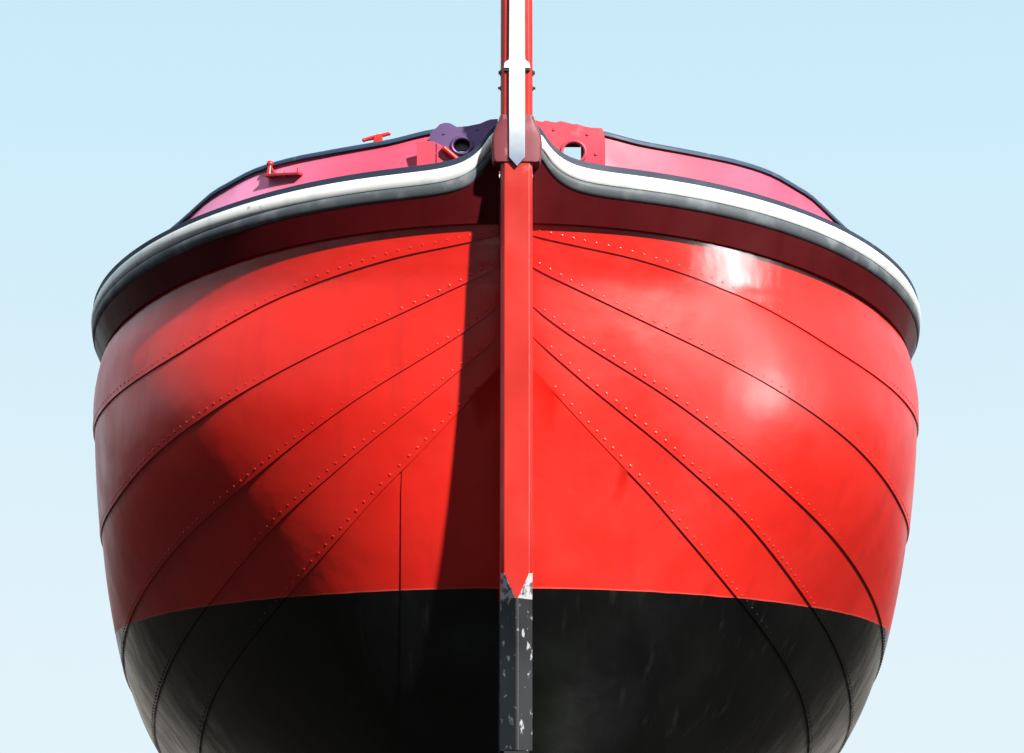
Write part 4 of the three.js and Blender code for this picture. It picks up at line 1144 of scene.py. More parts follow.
# The corner's turn: from this far back, to this far in and back
CASING_TURN = (0.02, 0.008, 0.006)


def make_casing():
    """The shield-shaped plate bent round the stem where the fenders end."""
    start, inward, end = CASING_TURN
    rings = []
    for z, half in CASING_ROWS:
        face = bar_front(z) - CASING_PROUD * held((CASING_HEAD[0] - z) / CASING_HEAD[1]) - CASING_GAP
        back = stem_y(z) - CASING_BACK
        left = ((-half, back), (-half, face + start), (-half + inward, face + end), (-CASING_FLAT, face))
        right = [(-x, y) for x, y in reversed(left)]
        rings.append([(x, y, z) for x, y in (*left, *right)])
    make_piece(
        "casing_shield", lofted(rings), [CASING_RED], "red_paint", stands_for=["stem_casing"], crease=55,
        bevel=0.004,
    )


# Half outline of the white strap, from its tip up: across and up
STRAP_OUTLINE = (
    (0.0, 2.788), (0.033, 2.826), (0.033, 3.199), (0.055, 3.199), (0.052, 3.222), (0.034, 3.235),
    (0.033, 3.25), (0.031, 3.69),
)
STRAP_PROUD = 0.018
# Level, reach and radius of the bolts through the strap's collar
STRAP_BOLTS = ((3.128, 0.077, 0.006), (3.193, 0.075, 0.008))
BOLT_BACK = 0.034
# Where the bolts' nuts stand, and their size to the bolt's
NUT_SEAT = (0.064, 0.069)
NUT_SIZE = 1.9
COLLAR_Z = 3.19
# The seam under the collar: half-width, levels and depths to the bar's face
COLLAR_SEAM = (0.054, (3.189, 3.198), (-0.012, 0.002))


def outline_plate(outline, front, back):
    """A flat plate with an outline in x and z; front and back give its faces' y at a level."""
    bm = bmesh.new()
    corners = [bm.verts.new((x, back(z), z)) for x, z in outline]
    face = bm.faces.new(corners)
    grown = bmesh.ops.extrude_face_region(bm, geom=[face])["geom"]
    for vert in grown:
        if isinstance(vert, bmesh.types.BMVert):
            vert.co.y = front(vert.co.z)
    bmesh.ops.recalc_face_normals(bm, faces=bm.faces)
    return bm


def make_strap():
    mirrored = [(-x, z) for x, z in STRAP_OUTLINE[:0:-1]]

    def front(z):
        return bar_front(z) - STRAP_PROUD

    def back(z):
        return bar_front(z) - CASING_PROUD - 0.001

    bm = outline_plate([*STRAP_OUTLINE, *mirrored], front, back)
    make_piece("strap_plate", bm, [STRAP_WHITE], "white_paint", stands_for=["stem_strap"], bevel=0.003)
    bolts = bmesh.new()
    for z, reach, radius in STRAP_BOLTS:
        y = bar_front(z) + BOLT_BACK
        add_bar(bolts, (-reach, y, z), (reach, y, z), radius, sides=10)
        for side in (1, -1):
            inner, outer = (side * x for x in NUT_SEAT)
            add_bar(bolts, (inner, y, z), (outer, y, z), radius * NUT_SIZE, sides=6)
    half, (low, high), (near, far) = COLLAR_SEAM
    face = bar_front(COLLAR_Z)
    add_block(bolts, (-half, face + near, low), (half, face + far, high))
    make_piece("strap_bolts", bolts, [FITTING_BLACK], "black_paint", bevel=0.001)


# Top edges of the hawse boards, from outside in: across and up
BOARD_TOPS = {
    "starboard": (
        (0.357, 2.975), (0.355, 2.99), (0.328, 3.013), (0.316, 3.026), (0.295, 3.032), (0.274, 3.03),
        (0.245, 3.014), (0.2, 3.018), (0.149, 3.029), (0.125, 3.04), (0.107, 3.047), (0.074, 3.05),
    ),
    "port": (
        (0.372, 2.975), (0.37, 2.99), (0.361, 3.012), (0.315, 3.014), (0.285, 3.02), (0.257, 3.03),
        (0.24, 3.028), (0.22, 3.034), (0.19, 3.042), (0.17, 3.036), (0.15, 3.038), (0.127, 3.044),
        (0.11, 3.038), (0.077, 3.046),
    ),
}
BOARD_OUTER = {"starboard": 0.36, "port": 0.374}
BOARD_INNER = 0.074
BOARD_FOOT_Z = 2.78
BOARD_SHOULDER_Z = 2.96
BOARD_FRONT_Y = -5.732
BOARD_BACK_Y = -5.692
# Middle of the hole across and up, and its half-width and half-height
HOLES = {"starboard": (0.225, 2.933, 0.041, 0.035), "port": (0.242, 2.908, 0.05, 0.047)}
HOLE_CUT = (-5.8, -5.6)
LIP_THICK = {"starboard": 0.009, "port": 0.0075}
# Depth of the black blocks that stand for the shade inside the holes
BOARD_BOLTS = ((0.1, 2.99), (0.16, 3.005), (0.3, 2.985), (0.335, 2.9), (0.13, 2.87))
HOLE_SHADE_DEPTH = (-5.688, -5.676)
# Ends of the fairlead bar below each hole, across and up, and its depth
FAIRLEADS = {"starboard": ((-0.3, 2.917), (-0.246, 2.87)), "port": ((0.126, 2.908), (0.188, 2.842))}
FAIRLEAD_Y = -5.762
FAIRLEAD_BACK_Y = -5.72
# Red plates over the foot of the starboard board, with the joint between them
GUSSETS = (
    ((-0.412, 2.82), (-0.3345, 2.82), (-0.3345, 2.948), (-0.37, 2.952), (-0.412, 2.95)),
    ((-0.33, 2.82), (-0.236, 2.82), (-0.25, 2.872), (-0.296, 2.922), (-0.33, 2.944)),
)
GUSSET_DEPTH = (BOARD_FRONT_Y - 0.007, BOARD_FRONT_Y - 0.001)


def hole_bar(side, name):
    """An oval bar through a hawse hole, to cut it with."""
    x, z, half, high = HOLES[name]
    front, back = HOLE_CUT
    bm = bmesh.new()
    add_bar(bm, (0, front, 0), (0, back, 0), 1.0, sides=40)
    bmesh.ops.scale(bm, verts=bm.verts, vec=(half, 1, high))
    bmesh.ops.translate(bm, verts=bm.verts, vec=(side * x, 0, z))
    return bm


def make_hawse_boards():
    for name, side in SIDES:
        outer = BOARD_OUTER[name]
        foot = ((BOARD_INNER, BOARD_FOOT_Z), (outer, BOARD_FOOT_Z), (outer, BOARD_SHOULDER_Z))
        outline = [(side * x, z) for x, z in (*foot, *BOARD_TOPS[name])]
        bm = outline_plate(outline, lambda z: BOARD_FRONT_Y, lambda z: BOARD_BACK_Y)
        # Port takes the red, starboard the painted shade
        finish = BOARD_RED if side > 0 else BOARD_PAINTED_SHADE
        board = make_piece("board_" + name, bm, [finish], "red_paint", stands_for=["hawse_board_" + name])
        carve(board, hole_bar(side, name))
        lip = ring_round(name, side, BOARD_FRONT_Y - 0.002, LIP_THICK[name])
        make_piece("hawse_lip_" + name, lip, [finish], "red_paint", crease=60)
        bolts = bmesh.new()
        for x, z in BOARD_BOLTS:
            seat, head = BOARD_FRONT_Y + 0.002, BOARD_FRONT_Y - 0.005
            add_bar(bolts, (side * x, seat, z), (side * x, head, z), 0.008, 0.005, 8)
        make_piece("board_bolts_" + name, bolts, [finish], "red_paint")
    make_hole_fittings()


def make_hole_fittings():
    """Black blocks behind each hole's edge as painted shade inside the hole, the fairlead bars below the
    holes and the gussets.
    """
    front, back = HOLE_SHADE_DEPTH
    for name, side in SIDES:
        x, z, half, high = HOLES[name]
        if side < 0:
            blocks = (
                (-x - half - 0.02, -x + half + 0.02, z - 0.012, z + high + 0.03),
                (-x - half - 0.02, -x - 0.012, z - high - 0.02, z - 0.011),
            )
        else:
            blocks = (
                (x + half * 0.66, x + half + 0.02, z - high, z + high + 0.02),
                (x - half, x + half * 0.65, z + high * 0.72, z + high + 0.02),
            )
        # Black blocks where the inside of the hole lies in shade: painted shade
        hole_shade_block = bmesh.new()
        for left, right, low, top in blocks:
            add_block(hole_shade_block, (left, front, low), (right, back, top))
        make_piece("hole_shade_block_" + name, hole_shade_block, [FITTING_BLACK], "black_paint", bevel=0.003)
        bars = bmesh.new()
        start, end = FAIRLEADS[name]
        add_bar(bars, (start[0], FAIRLEAD_Y, start[1]), (end[0], FAIRLEAD_Y, end[1]), 0.012, sides=12)
        for across, up in (start, end):
            add_bar(bars, (across, FAIRLEAD_Y, up), (across, FAIRLEAD_BACK_Y, up), 0.01, sides=10)
        make_piece("fairlead_" + name, bars, [RED], "red_paint", bevel=0.002)
    for number, outline in enumerate(GUSSETS):
        bm = outline_plate(outline, lambda z: GUSSET_DEPTH[0], lambda z: GUSSET_DEPTH[1])
        make_piece("gusset_%d" % (number + 1), bm, [GUSSET_RED], "red_paint", bevel=0.0015)


def ring_round(name, side, y, thick):
    """A round bar bent into an oval lip about a hawse hole."""
    x, z, half, high = HOLES[name]
    bm = bmesh.new()
    made = bmesh.ops.create_circle(bm, segments=8, radius=thick)["verts"]
    bmesh.ops.translate(bm, verts=made, vec=(half, 0, 0))
    spun(bm, (0, 1, 0), 40)
    bmesh.ops.scale(bm, verts=bm.verts, vec=(1, 1, high / half))
    bmesh.ops.translate(bm, verts=bm.verts, vec=(side * x, y, z))
    bmesh.ops.recalc_face_normals(bm, faces=bm.faces)
    return bm


HORN_STATION = 2.9
HORN_HALF = 0.052
HORN_UP = 0.024
HORN_TILT = 0.014
# Radii of the horn's arms and tips, and its foot's corners from the rail
HORN_RADII = (0.0105, 0.0075)
HORN_TIP = 0.009
HORN_FOOT = ((-0.012, -0.014, -0.003), (0.026, 0.014, 0.026))
LEDGE_STATIONS = (4.5, 4.8, 5.1, 5.4)
LEDGE_HEIGHTS = (0.1, 0.136)
LEDGE_WIDTH = (-0.075, -0.04)
LEDGE_THICK = 0.011
LUG_STATIONS = (4.58, 4.9)
# The lugs' place out and up, their height and radii
LUG_AT = (-0.056, 0.11)
LUG_HEIGHT = 0.026
LUG_RADII = (0.007, 0.005)
# Station and place out and up of the knob and of the feet of its post and stay
KNOB_AT = (5.32, -0.068, 0.192)
KNOB_RADIUS = 0.016
KNOB_POST_FOOT = (5.3, -0.055, 0.13)
KNOB_POST_RADII = (0.013, 0.01)
KNOB_STAY_FOOT = (5.12, -0.058, 0.128)
KNOB_STAY_RADIUS = 0.007
KNOB_STAY_DROP = 0.012


def ledge(station):
    first, *_, last = LEDGE_STATIONS
    inner, outer = LEDGE_WIDTH
    high = mix(*LEDGE_HEIGHTS, (station - first) / (last - first))
    return (inner, high), (outer, high), (outer, high + LEDGE_THICK), (inner, high + LEDGE_THICK)


def make_rail_fittings():
    """On the starboard rail a short horn, and aft of it a ledge with a knob and two lugs."""
    top, lean = bulwark_at(HORN_STATION)
    seat = off_sheer(-1, HORN_STATION, lean - BULWARK_THICK / 2, top + RAIL_HEIGHT)
    horn = bmesh.new()
    for side in (1, -1):
        tip = seat + Vector((side * HORN_HALF, 0, HORN_UP + side * HORN_TILT))
        add_bar(horn, seat + Vector((0, 0, HORN_UP)), tip, *HORN_RADII, 12)
        add_ball(horn, tip, HORN_TIP, 10, 6)
    add_block(horn, *(seat + Vector(corner) for corner in HORN_FOOT))
    make_piece("rail_horn", horn, [RED], "red_paint", stands_for=["rail_cleat_fore"], bevel=0.003)
    bm = moulding(-1, ledge, LEDGE_STATIONS)
    knob = off_sheer(-1, *KNOB_AT)
    add_bar(bm, off_sheer(-1, *KNOB_POST_FOOT), knob, *KNOB_POST_RADII, 14)
    below = knob - Vector((0, 0, KNOB_STAY_DROP))
    add_bar(bm, off_sheer(-1, *KNOB_STAY_FOOT), below, KNOB_STAY_RADIUS, sides=10)
    add_ball(bm, knob, KNOB_RADIUS)
    for station in LUG_STATIONS:
        low = off_sheer(-1, station, *LUG_AT)
        add_bar(bm, low, low + Vector((0, 0, LUG_HEIGHT)), *LUG_RADII, 10)
    make_piece("rail_ledge", bm, [FITTING_RED], "red_paint", stands_for=["rail_cleat_aft"], bevel=0.002)


RIVET_PITCH = 0.048
RIVET_ABOVE = 0.027
RIVET_RADIUS = 0.0075
RIVET_HEIGHT = 0.0019
RIVET_SUNK = 0.0005
RIVET_TOP = 0.45
RIVET_STATIONS = (0.45, STATIONS - 0.6)
# Steps along a lap in search of the next rivet, fine up to this station
FINE_UNTIL = 1.5
RIVET_STEPS = (0.012, 0.04)
SEAM_STEP = 0.01


def plating_surface(station, strake, above):
    """A point of the plating a distance above the lower edge of a strake, and the direction out there."""
    girths = seam_girths(station)
    foot, head = girths[strake], girths[strake + 1]
    rise = (shell_point(station, foot + SEAM_STEP) - shell_point(station, foot)).length / SEAM_STEP
    g = foot + above / max(0.2, rise)
    t = held((g - foot) / (head - foot))
    out = plate_out(station, g)
    return shell_point(station, g) + out * LAP * (1 - t), out


def make_rivets():
    """Rows of rivets along the laps."""
    for name, side in SIDES:
        bm = bmesh.new()
        flip = Vector((side, 1, 1))
        for strake in range(1, len(STRAKE_ROWS)):
            station, last = RIVET_STATIONS[0], None
            while station < RIVET_STATIONS[1]:
                place, out = plating_surface(station, strake, RIVET_ABOVE)
                if last is None or (place - last).length >= RIVET_PITCH:
                    last = place
                    foot, head = (place - out * RIVET_SUNK) * flip, (place + out * RIVET_HEIGHT) * flip
                    add_bar(bm, foot, head, RIVET_RADIUS, RIVET_RADIUS * RIVET_TOP, 6)
                station += RIVET_STEPS[0] if station < FINE_UNTIL else RIVET_STEPS[1]
        make_piece("rivets_" + name, bm, [HULL_PAINT], "hull_paint", crease=60)


# Cabin: half-breadth, ends, head and the openings, as in the solids
CABIN_HALF = 1.18
CABIN_FRONT = -1.6
CABIN_BACK = 1.25
CABIN_TOP = 3.74
WINDOW_SIZE = {"front": (0.6, 0.46), "side": (0.76, 0.46)}
WINDOW_MIDDLE_Z = 3.19
WINDOWS = (
    ("front", (-0.56, CABIN_FRONT), (0, -1, 0)), ("front", (0.56, CABIN_FRONT), (0, -1, 0)),
    ("side", (CABIN_HALF, -0.9), (1, 0, 0)), ("side", (CABIN_HALF, 0.25), (1, 0, 0)),
    ("side", (-CABIN_HALF, -0.9), (-1, 0, 0)), ("side", (-CABIN_HALF, 0.25), (-1, 0, 0)),
)
ROOF_HALF = 1.24
ROOF_ENDS = (-1.66, 1.31)
ROOF_EAVE_Z = 3.776
ROOF_UNDER_Z = 3.7404
ROOF_CROWN = 0.0335
SEAM_PLACES = (-0.8, -0.4, 0, 0.4, 0.8)
EXHAUST_SEAM_END = 0.56
BEAD_Z = 3.752
RAIL_X = 1.04
RAIL_Z = 3.857
RAIL_FEET = (-1.2, -0.5, 0.2, 0.9)
RAIL_ENDS = (-1.25, 0.95)
# Shares of a window's half-width and half-height where the frame's screws stand
SCREWS_ALONG = (-2.7, -1.35, 0, 1.35, 2.7)
SCREWS_UP = (-1, 0, 1)
CORNER_FOOT_Z = 2.42
SKIRTING_Z = 2.36
BELT_LEVELS = (2.86, 2.886)
WELL_FLOOR_Z = 1.78


def make_window_frames():
    """A bronze ring with screw heads round each window, and a dark seal inside it."""
    rings, screws, seals = bmesh.new(), bmesh.new(), bmesh.new()
    for kind, (x, y), out in WINDOWS:
        width, height = WINDOW_SIZE[kind]
        place = facing(out, (x, y, WINDOW_MIDDLE_Z))
        add_copy(rings, window_ring(width - 0.01, height - 0.01, 0.036, 0.036, 0.012), place)
        add_copy(seals, window_ring(width - 0.03, height - 0.03, 0.03, 0.014, 0.006), place)
        across, up = width / 2 + 0.012, height / 2 + 0.012
        spots = [(along * across / 3, side * up) for along in SCREWS_ALONG for side in (1, -1)]
        spots += [(side * across, along * up / 2) for along in SCREWS_UP for side in (1, -1)]
        for a, b in spots:
            add_bar(screws, place @ Vector((a, b, 0.011)), place @ Vector((a, b, 0.0145)), 0.006, 0.004, 8)
    make_piece("window_rings", rings, [BRONZE], "bronze", bevel=0.002)
    make_piece("window_screws", screws, [ZINC], "galvanised_steel")
    make_piece("window_seals", seals, [FITTING_BLACK], "black_paint", bevel=0.001)


def roof_height(share):
    """Top of the roof at a share of its half-breadth."""
    return ROOF_EAVE_Z + ROOF_CROWN * (1 - share * share)


def make_roof():
    """The crowned roof, its seams, its drip beads and the feet of its hand rails."""
    front, back = ROOF_ENDS
    rings = []
    for y in ROOF_ENDS:
        shares = [i / 12 - 1 for i in range(25)]
        top = [(share * ROOF_HALF, y, roof_height(share)) for share in shares]
        rings.append([(-ROOF_HALF, y, ROOF_UNDER_Z), *top, (ROOF_HALF, y, ROOF_UNDER_Z)])
    make_piece("roof_shell", lofted(rings), [ROOF_RED], "red_paint", stands_for=["cabin_roof"], bevel=0.008)
    seams = bmesh.new()
    for x in SEAM_PLACES:
        z = roof_height(x / ROOF_HALF) - 0.003
        end = back - 0.02 if x else EXHAUST_SEAM_END
        add_bar(seams, (x, front + 0.02, z), (x, end, z), 0.007, sides=10)
    make_piece("roof_seams", seams, [ROOF_RED], "red_paint")
    beads = bmesh.new()
    for side in (1, -1):
        x = side * (ROOF_HALF - 0.008)
        add_bar(beads, (x, front + 0.01, BEAD_Z), (x, back - 0.01, BEAD_Z), 0.011)
    for y in (front + 0.008, back - 0.008):
        add_bar(beads, (-ROOF_HALF + 0.01, y, BEAD_Z), (ROOF_HALF - 0.01, y, BEAD_Z), 0.011)
    make_piece("roof_beads", beads, [FENDER_WHITE_PAINT], "white_paint")
    feet = bmesh.new()
    for x in (RAIL_X, -RAIL_X):
        for y in RAIL_FEET:
            add_bar(feet, (x, y, 3.782), (x, y, 3.797), 0.034, 0.026, 20)
            add_bar(feet, (x, y - 0.02, RAIL_Z), (x, y + 0.02, RAIL_Z), 0.0185, sides=14)
        for y in RAIL_ENDS:
            add_ball(feet, (x, y, RAIL_Z), 0.0185, 14, 8)
    make_piece("roof_rail_feet", feet, [ZINC], "galvanised_steel")


def make_cabin_trim():
    """Beads up the cabin's corners, a skirting at the deck, a belt below the windows and the door's frame."""
    bm = bmesh.new()
    front, back = CABIN_FRONT, CABIN_BACK
    belt_low, belt_high = BELT_LEVELS
    for side in (1, -1):
        for y in (front, back):
            add_bar(bm, (side * CABIN_HALF, y, CORNER_FOOT_Z), (side * CABIN_HALF, y, CABIN_TOP), 0.016)
        add_side_block(bm, side, (CABIN_HALF, front, SKIRTING_Z), (CABIN_HALF + 0.01, back, 2.47))
    add_block(bm, (-CABIN_HALF, front - 0.01, SKIRTING_Z), (CABIN_HALF, front, 2.5))
    add_block(bm, (-CABIN_HALF, front - 0.014, belt_low), (CABIN_HALF, front, belt_high))
    for side in (1, -1):
        add_side_block(bm, side, (CABIN_HALF, front, belt_low), (CABIN_HALF + 0.014, back, belt_high))
    make_piece("cabin_beads", bm, [RED], "red_paint", bevel=0.004)
    door_frame = bmesh.new()
    for side in (1, -1):
        add_side_block(door_frame, side, (0.324, back, WELL_FLOOR_Z + 0.0015), (0.384, back + 0.01, 3.64))
    add_block(door_frame, (-0.384, back, 3.574), (0.384, back + 0.011, 3.642))
    make_piece("door_frame", door_frame, [TIMBER], "varnished_wood", bevel=0.003)


# The door leaf: half its width, its foot and head, its inner and outer face, and its rails and panels
DOOR_HALF = 0.302
DOOR_FOOT_Z = 1.858
DOOR_HEAD_Z = 3.552
DOOR_FACES = (1.2165, 1.2495)
DOOR_RAILS = (
    (DOOR_FOOT_Z, DOOR_FOOT_Z + 0.15), (2.34, 2.44), (2.86, 2.96), (DOOR_HEAD_Z - 0.1, DOOR_HEAD_Z),
)
DOOR_PANELS = ((DOOR_FOOT_Z + 0.14, 2.35), (2.43, 2.87))
STILE_WIDTH = 0.09
# How far the rails, the panels and the panels' raised middles end from the leaf's edge
RAIL_INSET = 0.089
PANEL_INSET = 0.085
RAISED_INSET = 0.125
RAISED_MARGIN = 0.045
# Inner and outer face of the panels, their raised middles and the pane, and the pane's levels
PANEL_FACES = (1.227, 1.239)
RAISED_FACES = (1.224, 1.242)
PANE_FACES = (1.23, 1.236)
PANE_LEVELS = (2.95, DOOR_HEAD_Z - 0.09)
HANDLE_AT = (-0.251, 2.69)
HANDLE_OUT = 0.03
# The handle's plate across and up, its thickness, and the lever's end and radii
HANDLE_PLATE = ((-0.27, -0.232), (2.58, 2.76))
HANDLE_PLATE_THICK = 0.004
KNUCKLE_RADIUS = 0.009
LEVER_END = (-0.14, 2.685)
LEVER_RADII = (0.0085, 0.007)
HINGE_LEVELS = (2.05, 2.7, 3.35)
HINGE_ACROSS = (0.21, 0.296)
HINGE_HALF = 0.022
HINGE_THICK = 0.0035


def make_door():
    """Stiles and rails round two panels and a pane, with a lever handle and three hinge plates."""
    half, (front, back) = DOOR_HALF, DOOR_FACES
    bm = bmesh.new()
    for x in (-half, half - STILE_WIDTH):
        add_block(bm, (x, front, DOOR_FOOT_Z), (x + STILE_WIDTH, back, DOOR_HEAD_Z))
    for foot, head in DOOR_RAILS:
        add_block(bm, (RAIL_INSET - half, front, foot), (half - RAIL_INSET, back, head))
    for foot, head in DOOR_PANELS:
        inner, outer = PANEL_FACES
        add_block(bm, (PANEL_INSET - half, inner, foot), (half - PANEL_INSET, outer, head))
        low, high = foot + RAISED_MARGIN, head - RAISED_MARGIN
        inner, outer = RAISED_FACES
        add_block(bm, (RAISED_INSET - half, inner, low), (half - RAISED_INSET, outer, high))
    solids = ["cabin_door"]
    make_piece("door_leaf", bm, [TIMBER], "varnished_wood", body="door", stands_for=solids, bevel=0.003)
    pane = bmesh.new()
    (inner, outer), (foot, head) = PANE_FACES, PANE_LEVELS
    add_block(pane, (PANEL_INSET - half, inner, foot), (half - PANEL_INSET, outer, head))
    make_piece("door_pane", pane, [GLASS], "window_glass", body="door")
    handle = bmesh.new()
    x, z = HANDLE_AT
    knuckle = (x, back + HANDLE_OUT, z)
    (left, right), (foot, head) = HANDLE_PLATE
    add_block(handle, (left, back, foot), (right, back + HANDLE_PLATE_THICK, head))
    add_bar(handle, (x, back, z), knuckle, KNUCKLE_RADIUS)
    add_bar(handle, knuckle, (LEVER_END[0], back + HANDLE_OUT, LEVER_END[1]), *LEVER_RADII)
    for z in HINGE_LEVELS:
        left, right = HINGE_ACROSS
        add_block(handle, (left, back, z - HINGE_HALF), (right, back + HINGE_THICK, z + HINGE_HALF))
    make_piece("door_handle", handle, [BRONZE], "bronze", body="door", bevel=0.0015)


LID_BORDER = 0.045
STRAP_X = 0.2
STRAP_HALF = 0.024
HANDLE_HALF = 0.06
HANDLE_UP = 0.022


def make_lid(name, solid, body, strap_y, handle_y):
    """A lid with a raised border, two battens, two hinge straps and a handle."""
    low, high = (Vector(corner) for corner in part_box(solid))
    size, middle = high - low, (high + low) / 2
    bm = thickened(rounded_plate(size.x, size.y, 0.03), size.z - 0.007)
    border = window_ring(size.x - 2 * LID_BORDER, size.y - 2 * LID_BORDER, 0.012, 0.044, 0.008)
    add_copy(bm, border, Matrix.Translation((0, 0, size.z - 0.008)))
    reach = size.y / 2 - LID_BORDER
    for x in (-size.x / 6, size.x / 6):
        add_block(bm, (x - 0.006, -reach, size.z - 0.008), (x + 0.006, reach, size.z - 0.004))
    bmesh.ops.translate(bm, verts=bm.verts, vec=(middle.x, middle.y, low.z))
    make_piece(name, bm, [RED], "red_paint", body=body, stands_for=[solid], bevel=0.003)
    fittings = bmesh.new()
    top = high.z
    near, far = sorted(strap_y)
    for x in (-STRAP_X, STRAP_X):
        add_block(fittings, (x - STRAP_HALF, near, top - 0.001), (x + STRAP_HALF, far, top + 0.005))
        for t in (0.2, 0.5, 0.8):
            y = mix(*strap_y, t)
            add_bar(fittings, (x, y, top + 0.004), (x, y, top + 0.008), 0.007, 0.005, 8)
    grip = HANDLE_HALF + 0.007
    for x in (-HANDLE_HALF, HANDLE_HALF):
        add_bar(fittings, (x, handle_y, top - 0.004), (x, handle_y, top + HANDLE_UP), 0.007, sides=10)
    add_bar(fittings, (-grip, handle_y, top + HANDLE_UP), (grip, handle_y, top + HANDLE_UP), 0.0075, sides=12)
    make_piece(name + "_fittings", fittings, [ZINC], "galvanised_steel", body=body, bevel=0.001)


ENGINE_ENDS = (2.2, 2.86)
CRANK_Z = 1.97
# Half-breadth, how far its ends stand in, and levels of the crankcase, the cylinders and the head
ENGINE_BLOCKS = ((0.2, 0, (1.86, 2.06)), (0.15, 0.02, (2.04, 2.17)), (0.12, 0.04, (2.165, 2.2)))
CYLINDERS = (2.31, 2.46, 2.61, 2.76)
# Start, end, radius and sides of the flywheel, its hub, the coupling, the exhaust's log and the filter
ENGINE_ROUNDS = (
    ((0, 2.12, CRANK_Z), (0, 2.2, CRANK_Z), 0.17, 40), ((0, 2.1, CRANK_Z), (0, 2.13, CRANK_Z), 0.06, 24),
    ((0, 2.86, 1.9), (0, 2.9, 1.9), 0.07, 24), ((0.215, 2.27, 2.1), (0.215, 2.82, 2.1), 0.03, 20),
    ((-0.17, 2.3, 2.12), (-0.17, 2.42, 2.12), 0.045, 24),
)


def make_engine():
    """A four-cylinder engine under its casing."""
    bm = bmesh.new()
    front, back = ENGINE_ENDS
    for half, inset, (low, high) in ENGINE_BLOCKS:
        add_block(bm, (-half, front + inset, low), (half, back - inset, high))
    for y in (2.2, 2.8):
        for side in (-1, 1):
            add_side_block(bm, side, (0.215, y - 0.04, WELL_FLOOR_Z + 0.0005), (0.285, y + 0.04, 1.9))
            add_side_block(bm, side, (0.19, y - 0.025, 1.88), (0.25, y + 0.025, 1.91))
    make_piece("engine_block", bm, [ENGINE_GREEN], "galvanised_steel", stands_for=["engine"], bevel=0.008)
    bright = bmesh.new()
    for start, end, radius, sides in ENGINE_ROUNDS:
        add_bar(bright, start, end, radius, sides=sides)
    for y in CYLINDERS:
        add_bar(bright, (0, y, 2.2), (0, y, 2.245), 0.03, 0.024, 20)
        add_bar(bright, (0.15, y, 2.1), (0.215, y, 2.1), 0.022, sides=16)
    make_piece("engine_parts", bright, [ZINC], "galvanised_steel", bevel=0.003)


LOUVRE_PLACES = (2.22, 2.5, 2.78)
LOUVRE_ROWS = 6
LOUVRE_FOOT_Z = 1.98
LOUVRE_PITCH = 0.045
LOUVRE_TILT = radians(-50)


def make_casing_louvres():
    """Slats over the vents in the engine casing's sides, and its corner angles."""
    bm = bmesh.new()
    places = [(side, y, row) for side in (1, -1) for y in LOUVRE_PLACES for row in range(LOUVRE_ROWS)]
    for side, y, row in places:
        slat = bmesh.new()
        add_block(slat, (-0.1, -0.012, 0), (0.1, 0.012, 0.004))
        seat = (side * 0.384, y, LOUVRE_FOOT_Z + row * LOUVRE_PITCH)
        add_copy(bm, slat, facing((side, 0, 0), seat) @ Matrix.Rotation(LOUVRE_TILT, 4, "X"))
    make_piece("casing_louvres", bm, [CREAM], "cream_paint", bevel=0.001)
    angles = bmesh.new()
    for x in (-0.38, 0.38):
        for y in (2.0, 3.0):
            add_bar(angles, (x, y, WELL_FLOOR_Z + 0.0015), (x, y, 2.352), 0.011, sides=12)
    make_piece("casing_corners", angles, [ZINC], "galvanised_steel")


BENCH_ENDS = (1.292, 3.296)
SLAT_X = 0.742
SLAT_PITCH = 0.0595
SLAT_WIDTH = 0.053
BEARERS = (1.32, 1.8, 2.29, 2.78, 3.25)
PLANKS = 14
PLANK_PITCH = 0.1432
PLANK_WIDTH = 0.139


def make_benches():
    """Slatted seats on bearers, boarded down to the well's floor."""
    front, back = BENCH_ENDS
    for name, side in SIDES:
        bm = bmesh.new()
        for row in range(6):
            x = SLAT_X + row * SLAT_PITCH
            add_side_block(bm, side, (x, front, 2.186), (x + SLAT_WIDTH, back, 2.2195))
        for y in BEARERS:
            add_side_block(bm, side, (0.765, y - 0.025, 2.13), (1.095, y + 0.025, 2.187))
        for plank in range(PLANKS):
            y = front + plank * PLANK_PITCH
            add_side_block(bm, side, (0.766, y, WELL_FLOOR_Z + 0.0012), (0.786, y + PLANK_WIDTH, 2.14))
        solids = ["bench_" + name]
        make_piece("bench_slats_" + name, bm, [TIMBER], "varnished_wood", stands_for=solids, bevel=0.003)


# Sides and ends of the boards before the casing and to either side of it
GRATINGS = ((-0.72, 0.72, 1.31, 1.97), (-0.72, -0.41, 1.99, 3.27), (0.41, 0.72, 1.99, 3.27))
GRATING_PITCH = 0.06
GRATING_GAP = 0.02
CROSS_BARS = (0.04, 0.35, 0.65, 0.96)


def make_gratings():
    """Slatted boards on the well's floor, round the engine casing."""
    bm = bmesh.new()
    for left, right, front, back in GRATINGS:
        count = round((right - left) / GRATING_PITCH)
        pitch = (right - left) / count
        low, high = WELL_FLOOR_Z + 0.01, WELL_FLOOR_Z + 0.028
        for i in range(count):
            x = left + i * pitch
            add_block(bm, (x, front, low), (x + pitch - GRATING_GAP, back, high))
        low, high = WELL_FLOOR_Z + 0.0008, WELL_FLOOR_Z + 0.0105
        for t in CROSS_BARS:
            y = mix(front, back, t)
            add_block(bm, (left, y - 0.02, low), (right - GRATING_GAP, y + 0.02, high))
    make_piece("sole_gratings", bm, [TIMBER], "varnished_wood", bevel=0.002)


DECK_PLATE = 0.0124


def deck_height(x, y):
    """Top of the deck plates at a place."""
    station = halved(BOW_STEPS, STATIONS, lambda station: sheer_point(station).y >= y)[0]
    edge = sheer_point(station)
    crown = CAMBER * (edge.x / SHELL_HALF) ** 2
    return edge.z - DECK_DROP + DECK_PLATE + crown * (1 - abs(x) / edge.x)


